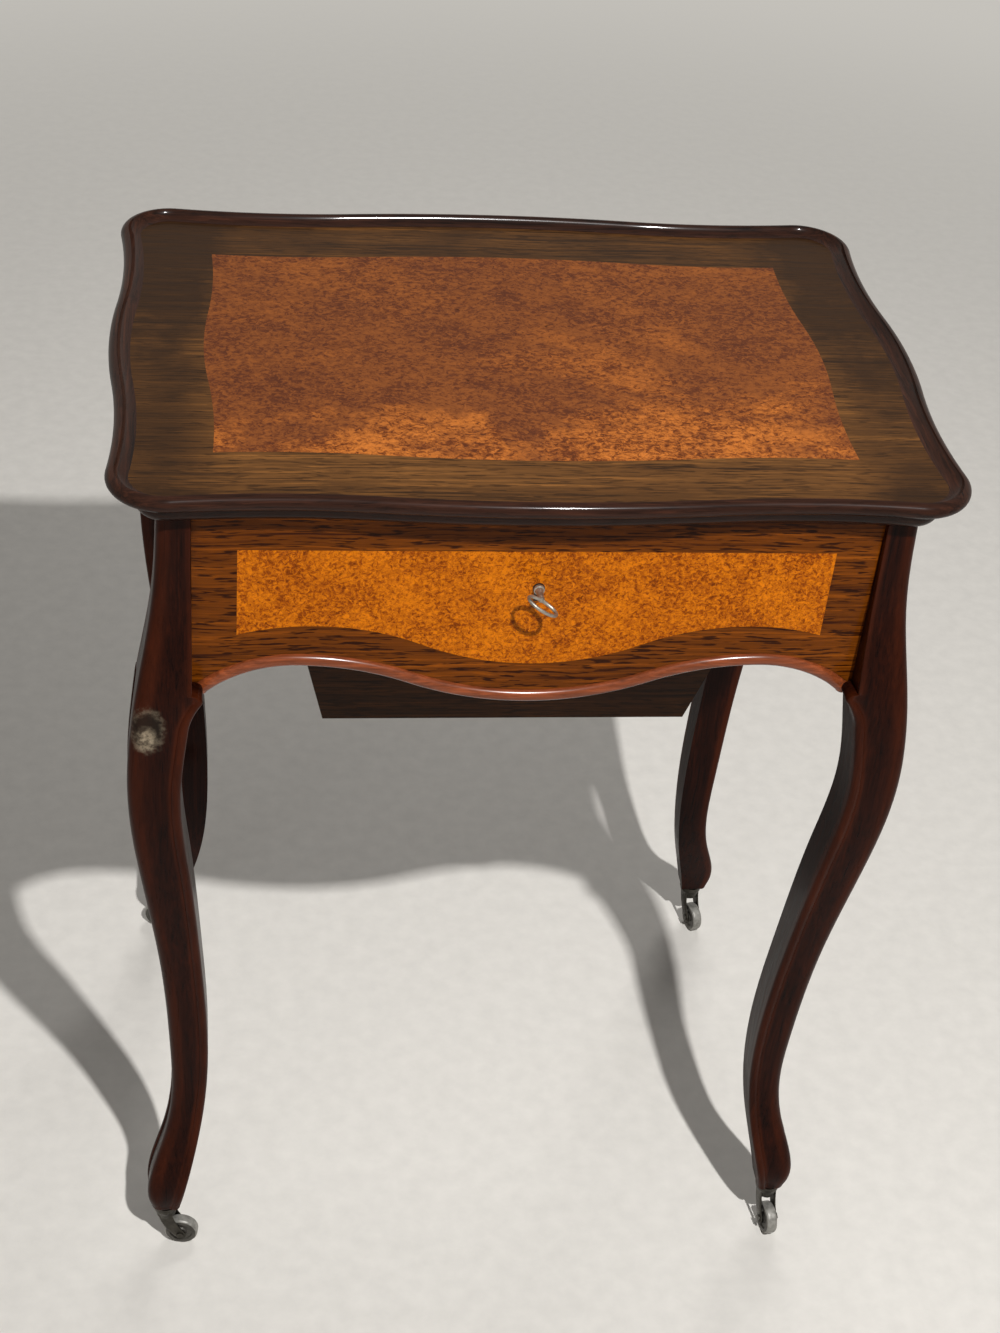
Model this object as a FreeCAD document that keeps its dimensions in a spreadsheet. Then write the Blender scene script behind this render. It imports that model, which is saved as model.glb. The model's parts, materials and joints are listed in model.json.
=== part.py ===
import FreeCAD, Part
import math
import os
import re
import Sketcher

# Dressing table with a lifting lid, cabriole legs and casters.
# Millimetres, +Z up, +X to the right, front towards -Y, origin on the floor below the centre.

doc = FreeCAD.newDocument("dressing_table")
sheet = doc.addObject("Spreadsheet::Sheet", "Sizes")

SIZES = [
    # Lid outline: a serpentine of tangent arcs on all four sides
    ("table_height", 710),
    ("top_half_width", 273),
    ("top_half_depth", 201),
    ("top_corner_radius", 36),
    ("front_hollow", 7),
    ("front_hollow_share", 0.684),
    ("front_corner_rise", 4),
    ("side_hollow", 6.5),
    ("side_hollow_share", 0.648),
    ("side_corner_rise", 3.5),
    # Lid section
    ("lid_thickness", 18),
    ("rim_lip", 6),
    ("rim_lip_width", 14),
    ("rim_nose_radius", 5.5),
    ("rim_foot_inset", 16.5),
    ("rim_width", 30),
    ("veneer", 1),
    ("banding_inset", 62),
    # Cornice under the lid
    ("cornice_inset", 17),
    ("cornice_height", 11),
    ("cornice_ovolo", 8),
    ("opening_inset_x", 5.7),
    ("opening_inset_y", 16.7),
    # Case, set in from the lid and hung from the cornice
    ("case_inset_x", 54.3),
    ("case_inset_y", 48.3),
    ("apron_thickness", 16.8),
    ("apron_arch_drop", 105),
    ("apron_end_fall", 26),
    ("apron_pendant_fall", 29.5),
    ("front_arch_share", 0.7),
    ("side_arch_share", 0.694),
    ("bead_radius", 3.5),
    ("bead_proud", 1),
    ("knob_radius", 4.6),
    ("knob_gap", 0.3),
    ("glue_gap", 0.1),
    ("floor_board_lift", 4),
    ("floor_board_thickness", 8),
    # Front burr inlay
    ("inlay_drop", 25),
    ("inlay_margin", 28.2),
    ("inlay_border", 22),
    ("inlay_end_fall", 7),
    ("inlay_pendant_fall", 30),
    ("inlay_hump_share", 0.75),
    # Work well
    ("well_depth", 118),
    ("well_inset_x", 89.7),
    ("well_inset_y", 58.7),
    ("well_flare", 26),
    ("well_board", 8),
    # Tray
    ("tray_gap", 1),
    ("tray_drop", 5),
    ("tray_depth", 44),
    ("tray_wall", 6),
    ("tray_floor", 5),
    ("tray_ledge_width", 14),
    ("tray_ledge_height", 10),
    ("divider_thickness", 5),
    ("divider_height", 30),
    ("divider_share", 0.338),
    # Leg stations: a place in the height, then the offsets of the inner and outer faces from the case corner
    ("leg_top_outer", 21.8),
    ("shoulder_drop", 66),
    ("shoulder_outer", 25.8),
    ("hip_lift", 1),
    ("hip_outer", 36.6),
    ("knee_drop", 68),
    ("knee_inner", 7.3),
    ("knee_outer", 42.8),
    ("calf_share", 0.782),
    ("calf_inner", 2.3),
    ("calf_outer", 36.8),
    ("shin_share", 0.507),
    ("shin_inner", -5.6),
    ("shin_outer", 24.3),
    ("ankle_share", 0.237),
    ("ankle_inner", -9.9),
    ("ankle_outer", 18.1),
    ("instep_rise", 50),
    ("instep_inner", -2),
    ("instep_outer", 25),
    ("toe_rise", 17),
    ("toe_inner", 9.2),
    ("toe_outer", 36.8),
    ("sole_height", 45),
    ("sole_inner", 12.5),
    ("sole_outer", 33.5),
    ("leg_bead_radius", 2.4),
    ("leg_quirk_width", 1.2),
    ("leg_face_drop", 0.4),
    ("leg_corner_radius", 7),
    ("leg_seat_drop", 4),
    # Mirror under the lid
    ("mirror_inset_x", 113),
    ("mirror_inset_y", 105),
    ("mirror_thickness", 4),
    ("mirror_strip_width", 12),
    ("mirror_strip_lap", 4),
    ("mirror_strip_height", 4),
    # Butt hinges
    ("hinge_axis_inset", 15.6),
    ("hinge_share", 0.568),
    ("hinge_half_length", 22),
    ("hinge_leaf", 1.5),
    ("hinge_leaf_depth", 29.4),
    ("hinge_knuckle_radius", 3.2),
    ("hinge_pin_radius", 1.5),
    ("hinge_pin_head", 1.2),
    ("hinge_slack", 0.3),
    ("pin_clearance", 0.05),
    # Lock and key
    ("key_drop", 53),
    ("lock_half_width", 26),
    ("lock_depth", 14),
    ("lock_below_key", 22),
    ("lock_wall", 1.5),
    ("bolt_thickness", 3),
    ("bolt_height", 8),
    ("bolt_length", 24),
    ("bolt_tail_width", 7),
    ("staple_at", 10),
    ("staple_thickness", 3),
    ("staple_arm", 2),
    ("bolt_drop", 5),
    ("bolt_slack", 0.2),
    ("staple_slack", 1.2),
    ("staple_plate_half_length", 16),
    ("staple_plate_half_depth", 7),
    ("staple_plate", 1.5),
    ("key_shaft_radius", 2.2),
    ("key_reach", 21),
    ("key_bow_radius", 8.4),
    ("key_bow_wire", 1.9),
    ("key_bow_turn", 27),
    ("key_bit_radius", 8),
    ("key_bit_thickness", 2),
    ("key_bit_width", 4),
    ("key_clearance", 0.4),
    ("key_collar_radius", 3.4),
    ("key_collar_length", 3),
    ("liner_wall", 1.4),
    # Casters
    ("caster_plate_radius", 10),
    ("caster_plate", 2.5),
    ("caster_bush_radius", 5),
    ("caster_bush_length", 15),
    ("caster_stem_radius", 3),
    ("caster_fork_radius", 8),
    ("caster_fork_plate", 3),
    ("caster_slack", 0.4),
    ("caster_trail", 12),
    ("caster_wheel_radius", 13),
    ("caster_wheel_width", 9),
    ("caster_cheek", 2),
    ("caster_cheek_gap", 0.6),
    ("caster_boss_radius", 4),
    ("caster_axle_radius", 2),
    ("caster_rivet_radius", 3),
    ("caster_rivet", 1),
    ("caster_tread_chamfer", 1.5),
    ("caster_turn_front_left", -8),
    ("caster_turn_front_right", -82),
    ("caster_turn_back_left", 160),
    ("caster_turn_back_right", -75),
    # How far a cutting solid reaches past the face it opens
    ("cut_margin", 1),
]

# Heights and places that follow from the sizes
DERIVED = [
    ("lid_bottom", "table_height - lid_thickness"),
    ("panel_top", "table_height - rim_lip"),
    ("case_top", "lid_bottom - cornice_height"),
    ("corner_x", "top_half_width - side_hollow + side_corner_rise - top_corner_radius"),
    ("corner_y", "top_half_depth - front_hollow + front_corner_rise - top_corner_radius"),
    ("front_hollow_at", "corner_x * front_hollow_share"),
    ("side_hollow_at", "corner_y * side_hollow_share"),
    ("cavity_half_width", "top_half_width - case_inset_x"),
    ("cavity_half_depth", "top_half_depth - case_inset_y"),
    ("apron_face", "cavity_half_depth + apron_thickness"),
    ("opening_half_width", "cavity_half_width - opening_inset_x"),
    ("opening_half_depth", "cavity_half_depth - opening_inset_y"),
    ("apron_arch_height", "case_top - apron_arch_drop"),
    ("apron_end_height", "apron_arch_height - apron_end_fall"),
    ("apron_pendant_height", "apron_arch_height - apron_pendant_fall"),
    ("front_arch_at", "cavity_half_width * front_arch_share"),
    ("side_arch_at", "cavity_half_depth * side_arch_share"),
    ("floor_board_height", "apron_arch_height + floor_board_lift"),
    ("floor_top", "floor_board_height + floor_board_thickness"),
    ("inlay_top_height", "case_top - inlay_drop"),
    ("inlay_half_width", "cavity_half_width - inlay_margin"),
    ("inlay_hump_height", "apron_arch_height + inlay_border"),
    ("inlay_hump_at", "inlay_half_width * inlay_hump_share"),
    ("inlay_end_height", "inlay_hump_height - inlay_end_fall"),
    ("inlay_pendant_height", "inlay_hump_height - inlay_pendant_fall"),
    ("well_bottom_height", "floor_board_height - well_depth"),
    ("well_half_width", "cavity_half_width - well_inset_x"),
    ("well_half_depth", "cavity_half_depth - well_inset_y"),
    ("tray_top_height", "case_top - tray_drop"),
    ("divider_at", "opening_half_width * divider_share"),
    ("shoulder_height", "case_top - shoulder_drop"),
    ("hip_height", "apron_end_height + hip_lift"),
    ("knee_height", "hip_height - knee_drop"),
    ("toe_height", "sole_height + toe_rise"),
    ("instep_height", "toe_height + instep_rise"),
    ("calf_height", "instep_height + (knee_height - instep_height) * calf_share"),
    ("shin_height", "instep_height + (knee_height - instep_height) * shin_share"),
    ("ankle_height", "instep_height + (knee_height - instep_height) * ankle_share"),
    ("mirror_half_width", "top_half_width - mirror_inset_x"),
    ("mirror_half_depth", "top_half_depth - mirror_inset_y"),
    ("hinge_axis_depth", "top_half_depth - hinge_axis_inset"),
    ("hinge_at", "top_half_width * hinge_share"),
    ("hinge_leaf_front", "hinge_axis_depth - hinge_leaf_depth"),
    ("key_height", "case_top - key_drop"),
    ("lock_bottom_height", "key_height - lock_below_key"),
    ("lock_front", "-cavity_half_depth"),
    ("lock_back", "lock_front + lock_depth"),
    ("staple_middle", "lock_front + lock_depth / 2"),
    ("staple_reach", "bolt_thickness / 2 + staple_slack + staple_arm"),
    ("bolt_top", "case_top - bolt_drop"),
    ("bolt_bottom", "bolt_top - bolt_height"),
    ("foot_x", "cavity_half_width + (sole_inner + sole_outer) / 2"),
    ("foot_y", "cavity_half_depth + (sole_inner + sole_outer) / 2"),
]
NAMES = {name for name, content in SIZES + DERIVED}
CELLS = [(name, str(number)) for name, number in SIZES] + [(name, f"={formula}") for name, formula in DERIVED]
for row, (name, content) in enumerate(CELLS, start=1):
    sheet.set(f"A{row}", name)
    sheet.set(f"B{row}", content)
    sheet.setAlias(f"B{row}", name)
doc.recompute()

X_AXIS = FreeCAD.Vector(1, 0, 0)
Y_AXIS = FreeCAD.Vector(0, 1, 0)
Z_AXIS = FreeCAD.Vector(0, 0, 1)


def bound(formula):
    """The formula as an expression, with every size read from the sheet."""
    return re.sub(r"[a-z_]\w*", lambda word: f"Sizes.{word[0]}" if word[0] in NAMES else word[0], formula)


def value(formula):
    """The formula's present number."""
    return float(sheet.evalExpression(bound(formula)))


def place(piece, x="0", y="0", z="0"):
    """Bind the piece's base point."""
    for axis, formula in zip("xyz", (x, y, z)):
        piece.setExpression(f"Placement.Base.{axis}", bound(formula))
    return piece


def box(name, x_span, y_span, z_span):
    """A board between two formulas along each axis."""
    piece = doc.addObject("Part::Box", name)
    spans = (x_span, y_span, z_span)
    for side, (low, high) in zip(("Length", "Width", "Height"), spans):
        piece.setExpression(side, bound(f"({high}) - ({low})"))
    return place(piece, *(low for low, high in spans))


def rod(name, radius, length, x="0", y="0", z="0", axis=Z_AXIS):
    """A cylinder that starts at a point and runs along an axis."""
    piece = doc.addObject("Part::Cylinder", name)
    piece.setExpression("Radius", bound(radius))
    piece.setExpression("Height", bound(length))
    piece.Placement.Rotation = FreeCAD.Rotation(Z_AXIS, axis)
    return place(piece, x, y, z)


def fuse(name, *pieces):
    """Several solids as one."""
    piece = doc.addObject("Part::MultiFuse", name)
    piece.Shapes = list(pieces)
    piece.Refine = True
    return piece


def group(name, *pieces):
    """Like pieces that stay separate solids under one name."""
    piece = doc.addObject("Part::Compound", name)
    piece.Links = list(pieces)
    return piece


def cut(name, base, *tools):
    """A solid with other solids taken out of it."""
    piece = doc.addObject("Part::Cut", name)
    piece.Base = base
    piece.Tool = tools[0] if len(tools) == 1 else fuse(f"{name}_cuts", *tools)
    return piece


def solid(name, shape):
    """A solid worked out from the sheet's present numbers."""
    piece = doc.addObject("Part::Feature", name)
    piece.Shape = shape
    return piece


def mirror(name, source, normal):
    """The source reflected in a plane through the origin."""
    piece = doc.addObject("Part::Mirroring", name)
    piece.Source = source
    piece.Normal = normal
    return piece


def body_plane(body, role):
    """One of the body's own origin planes."""
    return next(plane for plane in body.Origin.OriginFeatures if plane.Role == role)


def outline_sketch(body, name, role, steps):
    """A closed sketch. A step is an end point, or an end point with an arc's radius and turn.

    The turn is 1 where the arc runs counter-clockwise and -1 where it runs clockwise.
    """
    sketch = body.newObject("Sketcher::SketchObject", name)
    sketch.AttachmentSupport = (body_plane(body, role), [""])
    sketch.MapMode = "FlatFace"
    points = [FreeCAD.Vector(value(step[0]), value(step[1]), 0) for step in steps]
    ends = []
    for index, step in enumerate(steps):
        start = points[index - 1]
        end = points[index]
        if len(step) == 2:
            number = sketch.addGeometry(Part.LineSegment(start, end))
            ends.append((number, 1, 2))
            continue
        radius, turn = value(step[2]), step[3]
        chord = end - start
        lift = math.sqrt(radius ** 2 - (chord.Length / 2) ** 2)
        centre = (start + end) / 2 + FreeCAD.Vector(-chord.y, chord.x, 0).normalize() * lift * turn
        angles = [math.atan2(p.y - centre.y, p.x - centre.x) for p in (start, end)][::turn]
        circle = Part.Circle(centre, Z_AXIS, radius)
        number = sketch.addGeometry(Part.ArcOfCircle(circle, angles[0], angles[1]))
        ends.append((number, 1, 2) if turn == 1 else (number, 2, 1))
        radius_number = sketch.addConstraint(Sketcher.Constraint("Radius", number, radius))
        sketch.setExpression(f"Constraints[{radius_number}]", bound(step[2]))
    for index, step in enumerate(steps):
        number, start_point, end_point = ends[index]
        following, following_start, following_end = ends[(index + 1) % len(steps)]
        join = Sketcher.Constraint("Coincident", number, end_point, following, following_start)
        sketch.addConstraint(join)
        for kind, formula in zip(("DistanceX", "DistanceY"), step[:2]):
            fix = Sketcher.Constraint(kind, -1, 1, number, end_point, value(formula))
            sketch.setExpression(f"Constraints[{sketch.addConstraint(fix)}]", bound(formula))
    return sketch


def pad(body, sketch, length):
    """The sketch raised along its normal."""
    feature = body.newObject("PartDesign::Pad", f"{sketch.Name}_pad")
    feature.Profile = sketch
    feature.setExpression("Length", bound(length))
    body.Tip = feature
    return feature


def pocket(body, sketch, depth, reverse=False):
    """The sketch sunk into the body."""
    feature = body.newObject("PartDesign::Pocket", f"{sketch.Name}_pocket")
    feature.Profile = sketch
    feature.Reversed = reverse
    feature.setExpression("Length", bound(depth))
    body.Tip = feature
    return feature


def turned(body, degrees, x="0", y="0", z="0"):
    """Turn the body about the vertical and bind its base point."""
    body.Placement.Rotation = FreeCAD.Rotation(Z_AXIS, degrees)
    return place(body, x, y, z)


def swell_angle(rise, run):
    """The angle of each arc of an S-curve that climbs a rise over a run, level at both ends."""
    return f"(2 * atan(({rise}) / ({run})))"


class Side:
    """One serpentine side of the lid: its three arcs and their centres, from the sheet's numbers.

    The side swells at its middle, hollows beside it and turns into a round corner.
    All arcs are tangent, so an inset keeps their centres and changes only their radii.
    """

    def __init__(self, extent, hollow, hollow_at, rise, corner_at):
        self.extent = value(extent)
        corner_radius = value("top_corner_radius")
        run = corner_at - value(hollow_at)
        self.swell = 2 * math.atan(value(hollow) / value(hollow_at))
        self.turn = 2 * math.atan(value(rise) / run)
        self.hollow_radius = run / math.sin(self.turn) - corner_radius
        self.swell_radius = value(hollow_at) / math.sin(self.swell) - self.hollow_radius
        self.hollow_centre = (value(hollow_at), self.extent - value(hollow) + self.hollow_radius)
        self.swell_centre = (0, self.extent - self.swell_radius)

    def swell_point(self, inset, angle):
        """A point of the middle arc as (along, out)."""
        radius = self.swell_radius - inset
        return (radius * math.sin(angle), self.swell_centre[1] + radius * math.cos(angle))

    def hollow_point(self, inset, angle):
        """A point of the hollow arc as (along, out), with the angle counted from the hollow's middle."""
        radius = self.hollow_radius + inset
        along, out = self.hollow_centre
        return (along + radius * math.sin(angle), out - radius * math.cos(angle))


CORNER_X = value("corner_x")
CORNER_Y = value("corner_y")
LONG_SIDE = Side("top_half_depth", "front_hollow", "front_hollow_at", "front_corner_rise", CORNER_X)
SHORT_SIDE = Side("top_half_width", "side_hollow", "side_hollow_at", "side_corner_rise", CORNER_Y)


def facing(side_number, along, out, height=0):
    """A point of the front (0), right (1), back (2) or left (3) side, in the table's frame."""
    return [FreeCAD.Vector(along, -out, height), FreeCAD.Vector(out, along, height),
            FreeCAD.Vector(-along, out, height), FreeCAD.Vector(-out, -along, height)][side_number]


def corner_centre(side_number):
    """The corner centre at the end of a side, as (along, out)."""
    return (CORNER_X, CORNER_Y) if side_number % 2 == 0 else (CORNER_Y, CORNER_X)


def half_side(side_number, inset, height, end_angle):
    """Arcs from the middle of a side to an angle round its corner."""
    side = (LONG_SIDE, SHORT_SIDE)[side_number % 2]
    along, out = corner_centre(side_number)
    radius = value("top_corner_radius") - inset
    corner_start = -side.turn
    arcs = [[side.swell_point(inset, side.swell * share) for share in (0, 0.5, 1)],
            [side.hollow_point(inset, angle) for angle in
             (-side.swell, (side.turn - side.swell) / 2, side.turn)],
            [(along + radius * math.sin(angle), out + radius * math.cos(angle)) for angle in
             (corner_start, (corner_start + end_angle) / 2, end_angle)]]
    return [[facing(side_number, *point, height) for point in arc] for arc in arcs]


def side_path(side_number, inset, height):
    """The whole path of one side, from mitre to mitre."""
    right = half_side(side_number, inset, height, math.pi / 4)
    side = (LONG_SIDE, SHORT_SIDE)[side_number % 2]
    along = facing(side_number, 1, 0)
    left = [[point - along * 2 * point.dot(along) for point in arc][::-1] for arc in right[::-1]]
    middle = facing(side_number, *side.swell_point(inset, 0), height)
    swell = [left[-1][0], middle, right[0][-1]]
    arcs = left[:-1] + [swell] + right[1:]
    return Part.Wire([Part.Arc(*arc).toShape() for arc in arcs])


def outline(inset, height):
    """The closed outline of the lid at an inset smaller than the corner radius."""
    edges = []
    for side_number in range(4):
        edges += side_path(side_number, inset, height).Edges
    return Part.Wire(edges)


def sharp_outline(inset, height):
    """The outline at an inset past the corner radius, where the hollow arcs meet in points."""
    long_centre, short_centre = LONG_SIDE.hollow_centre, SHORT_SIDE.hollow_centre
    circles = [(FreeCAD.Vector(long_centre[0], long_centre[1], 0), LONG_SIDE.hollow_radius + inset),
               (FreeCAD.Vector(short_centre[1], short_centre[0], 0), SHORT_SIDE.hollow_radius + inset)]
    (first, first_radius), (second, second_radius) = circles
    gap = second - first
    reach = (gap.Length ** 2 + first_radius ** 2 - second_radius ** 2) / (2 * gap.Length)
    lift = math.sqrt(first_radius ** 2 - reach ** 2)
    along = FreeCAD.Vector(gap).normalize()
    across = FreeCAD.Vector(-along.y, along.x, 0)
    corner = min((first + along * reach + across * lift * way for way in (1, -1)), key=lambda p: p.Length)
    edges = []
    for side_number in range(4):
        side = (LONG_SIDE, SHORT_SIDE)[side_number % 2]
        end = (corner.x, corner.y) if side_number % 2 == 0 else (corner.y, corner.x)
        end_angle = math.asin((end[0] - side.hollow_centre[0]) / (side.hollow_radius + inset))
        swell = [side.swell_point(inset, side.swell * share) for share in (-1, 0, 1)]
        hollow = [side.hollow_point(inset, angle) for angle in
                  (-side.swell, (end_angle - side.swell) / 2, end_angle)]
        before = [(-point[0], point[1]) for point in hollow[::-1]]
        for arc in (before, swell, hollow):
            points = [facing(side_number, *point, height) for point in arc]
            edges.append(Part.Arc(*points).toShape())
    return Part.Wire(edges), corner


def slab(wire, thickness):
    """A flat outline raised by a thickness."""
    return Part.Face(wire).extrude(FreeCAD.Vector(0, 0, thickness))


SIDE_NAMES = ("front", "right", "back", "left")


def mitre_wedge(side_number, inner_along, inner_out, low, high, reach=0):
    """A prism that holds one side of a mitred frame.

    Its ends run from the frame's inner corner to the corner centre and on at 45 degrees.
    A reach carries it past the inner corners where the frame's inner edge hollows.
    """
    along, out = corner_centre(side_number)
    far = value("top_half_width")
    deep_along, deep_out = inner_along - reach, inner_out - reach
    near = [(-inner_along, inner_out), (-deep_along, deep_out), (deep_along, deep_out)]
    near.append((inner_along, inner_out))
    ends = [(along + far, out + far), (-along - far, out + far)]
    points = [facing(side_number, *point, low) for point in near + [(along, out)] + ends + [(-along, out)]]
    return slab(Part.makePolygon(points + points[:1]), high - low)


def build_aprons():
    """Four shaped aprons: a straight top, ends at the legs and a lower edge of S-curves."""
    for side_number, side_name in enumerate(SIDE_NAMES):
        is_long = side_number % 2 == 0
        half = "cavity_half_width" if is_long else "cavity_half_depth"
        arch_at = "front_arch_at" if is_long else "side_arch_at"
        rise = "(apron_arch_height - apron_pendant_height)"
        drop = "(apron_arch_height - apron_end_height)"
        run = f"({half} - {arch_at})"
        curve = swell_angle(rise, arch_at)
        radius = f"({arch_at} / sin({curve}) / 2)"
        shoulder = f"({arch_at} / 2)"
        middle = "((apron_arch_height + apron_pendant_height) / 2)"
        end_radius = f"(({run} * {run} + {drop} * {drop}) / (2 * {drop}))"
        body = doc.addObject("PartDesign::Body", f"apron_{side_name}_board")
        steps = [
            (f"-{half}", "case_top"),
            (f"-{half}", "apron_end_height"),
            (f"-{arch_at}", "apron_arch_height", end_radius, -1),
            (f"-{shoulder}", middle, radius, -1),
            ("0", "apron_pendant_height", radius, 1),
            (shoulder, middle, radius, 1),
            (arch_at, "apron_arch_height", radius, -1),
            (half, "apron_end_height", end_radius, -1),
            (half, "case_top"),
        ]
        pad(body, outline_sketch(body, f"apron_{side_name}_outline", "XZ_Plane", steps), "apron_thickness")
        base = facing(side_number, 0, 1)
        inner = "cavity_half_depth" if is_long else "cavity_half_width"
        turned(body, 90 * side_number, x=f"{base.x:.0f} * {inner}", y=f"{base.y:.0f} * {inner}")
        build_bead(side_number, half, arch_at)
        if side_name != "front":
            body.Label = f"apron_{side_name}"
            SUBPARTS.append(body)
        else:
            inlay_steps = inlay_outline()
            recess = outline_sketch(body, "inlay_recess", "XZ_Plane", inlay_steps)
            place_recess(recess)
            doc.recompute()
            before = body.Shape.Volume
            pocket(body, recess, "veneer")
            doc.recompute()
            if body.Shape.Volume >= before:
                raise ValueError("the inlay recess cuts nothing")
            front = cut("apron_front", body, keyhole("keyhole_cut", "0", "lock_front", "-apron_thickness"))
            SUBPARTS.append(front)


def place_recess(sketch):
    """Move a sketch from the apron's inner face to its outer face."""
    sketch.setExpression("AttachmentOffset.Base.z", bound("apron_thickness"))


def inlay_outline():
    """The burr panel on the front: straight top and sides, and a lower edge that echoes the apron's."""
    rise = "(inlay_hump_height - inlay_pendant_height)"
    drop = "(inlay_hump_height - inlay_end_height)"
    run = "(inlay_half_width - inlay_hump_at)"
    radius = f"(inlay_hump_at / sin({swell_angle(rise, 'inlay_hump_at')}) / 2)"
    middle = "((inlay_hump_height + inlay_pendant_height) / 2)"
    end_radius = f"(({run} * {run} + {drop} * {drop}) / (2 * {drop}))"
    return [
        ("-inlay_half_width", "inlay_top_height"),
        ("-inlay_half_width", "inlay_end_height"),
        ("-inlay_hump_at", "inlay_hump_height", end_radius, -1),
        ("-inlay_hump_at / 2", middle, radius, -1),
        ("0", "inlay_pendant_height", radius, 1),
        ("inlay_hump_at / 2", middle, radius, 1),
        ("inlay_hump_at", "inlay_hump_height", radius, -1),
        ("inlay_half_width", "inlay_end_height", end_radius, -1),
        ("inlay_half_width", "inlay_top_height"),
    ]


def keyhole(name, wall, start, length):
    """A keyhole through the front: a round for the shaft and a slot below it for the bit."""
    radius = f"(key_shaft_radius + key_clearance + liner_wall - ({wall}))"
    half_slot = f"(key_bit_thickness / 2 + key_clearance + liner_wall - ({wall}))"
    foot = f"(key_height - key_bit_radius - key_clearance - liner_wall + ({wall}))"
    front = f"{start} + ({length})"
    hole = rod(f"{name}_round", radius, f"-({length})", y=front, z="key_height", axis=Y_AXIS)
    spans = ((f"-{half_slot}", half_slot), (front, start), (foot, "key_height"))
    return fuse(name, hole, box(f"{name}_slot", *spans))


def build_front_inlay():
    """The burr panel flush in its recess, with the keyhole through it, and the metal liner."""
    body = doc.addObject("PartDesign::Body", "front_inlay_panel")
    sketch = outline_sketch(body, "front_inlay_outline", "XZ_Plane", inlay_outline())
    pad(body, sketch, "veneer")
    turned(body, 0, y="-apron_face + veneer")
    hole = keyhole("front_inlay_keyhole", "0", "-apron_face + veneer", "-veneer")
    SUBPARTS.append(cut("front_inlay", body, hole))
    outer = keyhole("liner_outer", "0", "lock_front", "-apron_thickness")
    inner = keyhole("liner_inner", "liner_wall", "lock_front", "-apron_thickness")
    SUBPARTS.append(cut("keyhole_liner", outer, inner))


def build_bead(side_number, half, arch_at):
    """A round bead along the apron's lower edge, ending in a knob beside each leg."""
    half, arch_at = value(half), value(arch_at)
    radius, gap = value("bead_radius"), value("glue_gap")
    inset = radius + gap
    arch, pendant = value("apron_arch_height"), value("apron_pendant_height")
    drop = arch - value("apron_end_height")
    swell = 2 * math.atan((arch - pendant) / arch_at)
    edge_radius = arch_at / math.sin(swell) / 2
    end_radius = ((half - arch_at) ** 2 + drop ** 2) / (2 * drop)
    knob_x = half - value("knob_radius + knob_gap")
    end_angle = math.asin((knob_x - arch_at) / (end_radius - inset))
    out = value("cavity_half_depth" if side_number % 2 == 0 else "cavity_half_width")
    out += value("apron_thickness + bead_proud - bead_radius")

    def low_arc(angle):
        reach = edge_radius + inset
        return (reach * math.sin(angle), pendant + edge_radius - reach * math.cos(angle))

    def high_arc(angle):
        reach = edge_radius - inset
        return (arch_at + reach * math.sin(angle), arch - edge_radius + reach * math.cos(angle))

    def end_arc(angle):
        reach = end_radius - inset
        return (arch_at + reach * math.sin(angle), arch - end_radius + reach * math.cos(angle))

    right = [[high_arc(angle) for angle in (-swell, -swell / 2, 0)],
             [end_arc(angle) for angle in (0, end_angle / 2, end_angle)]]
    left = [[(-x, z) for x, z in arc][::-1] for arc in right[::-1]]
    arcs = left + [[low_arc(angle) for angle in (-swell, 0, swell)]] + right
    path = Part.Wire([Part.Arc(*(facing(side_number, x, out, z) for x, z in arc)).toShape() for arc in arcs])
    start = path.Edges[0]
    tangent = start.tangentAt(start.FirstParameter)
    begin = start.valueAt(start.FirstParameter)
    section = Part.Wire(Part.makeCircle(radius, begin, tangent))
    shape = path.makePipeShell([section], True, False)
    knob = value("knob_radius")
    knob_reach = end_radius - knob - gap
    knob_z = arch - end_radius + math.sqrt(knob_reach ** 2 - (knob_x - arch_at) ** 2)
    for x in (-knob_x, knob_x):
        shape = shape.fuse(Part.makeSphere(knob, facing(side_number, x, out, knob_z)))
    SUBPARTS.append(solid(f"bead_{SIDE_NAMES[side_number]}", shape))


def leg_section(inner, outer, height):
    """The leg's section at a height: two plain inner faces, a bead at each outer face's inner edge,
    a sunk quirk beside the bead and a round outer corner."""
    bead = value("leg_bead_radius")
    quirk = value("leg_quirk_width")
    face = outer - value("leg_face_drop")
    corner = value("leg_corner_radius")
    centre = (inner + bead, outer - bead)

    def on_bead(degrees):
        angle = math.radians(degrees)
        return (centre[0] + bead * math.cos(angle), centre[1] + bead * math.sin(angle))

    half = [("line", (inner, inner), on_bead(180)),
            ("arc", on_bead(180), on_bead(130), on_bead(80)),
            ("arc", on_bead(80), on_bead(30), on_bead(-20)),
            ("line", on_bead(-20), (on_bead(-20)[0] + quirk, face)),
            ("line", (on_bead(-20)[0] + quirk, face), (face - corner, face))]
    diagonal = face - corner * (1 - math.sqrt(0.5))
    round_corner = [("arc", (face - corner, face), (diagonal, diagonal), (face, face - corner))]
    other = [(kind, *[(v, u) for u, v in points][::-1]) for kind, *points in half[::-1]]
    edges = []
    for kind, *points in half + round_corner + other:
        corner_x, corner_y = value("cavity_half_width"), value("cavity_half_depth")
        spots = [FreeCAD.Vector(corner_x + u, -(corner_y + v), height) for u, v in points]
        edges.append(Part.makeLine(*spots) if kind == "line" else Part.Arc(*spots).toShape())
    return Part.Wire(edges)


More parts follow.
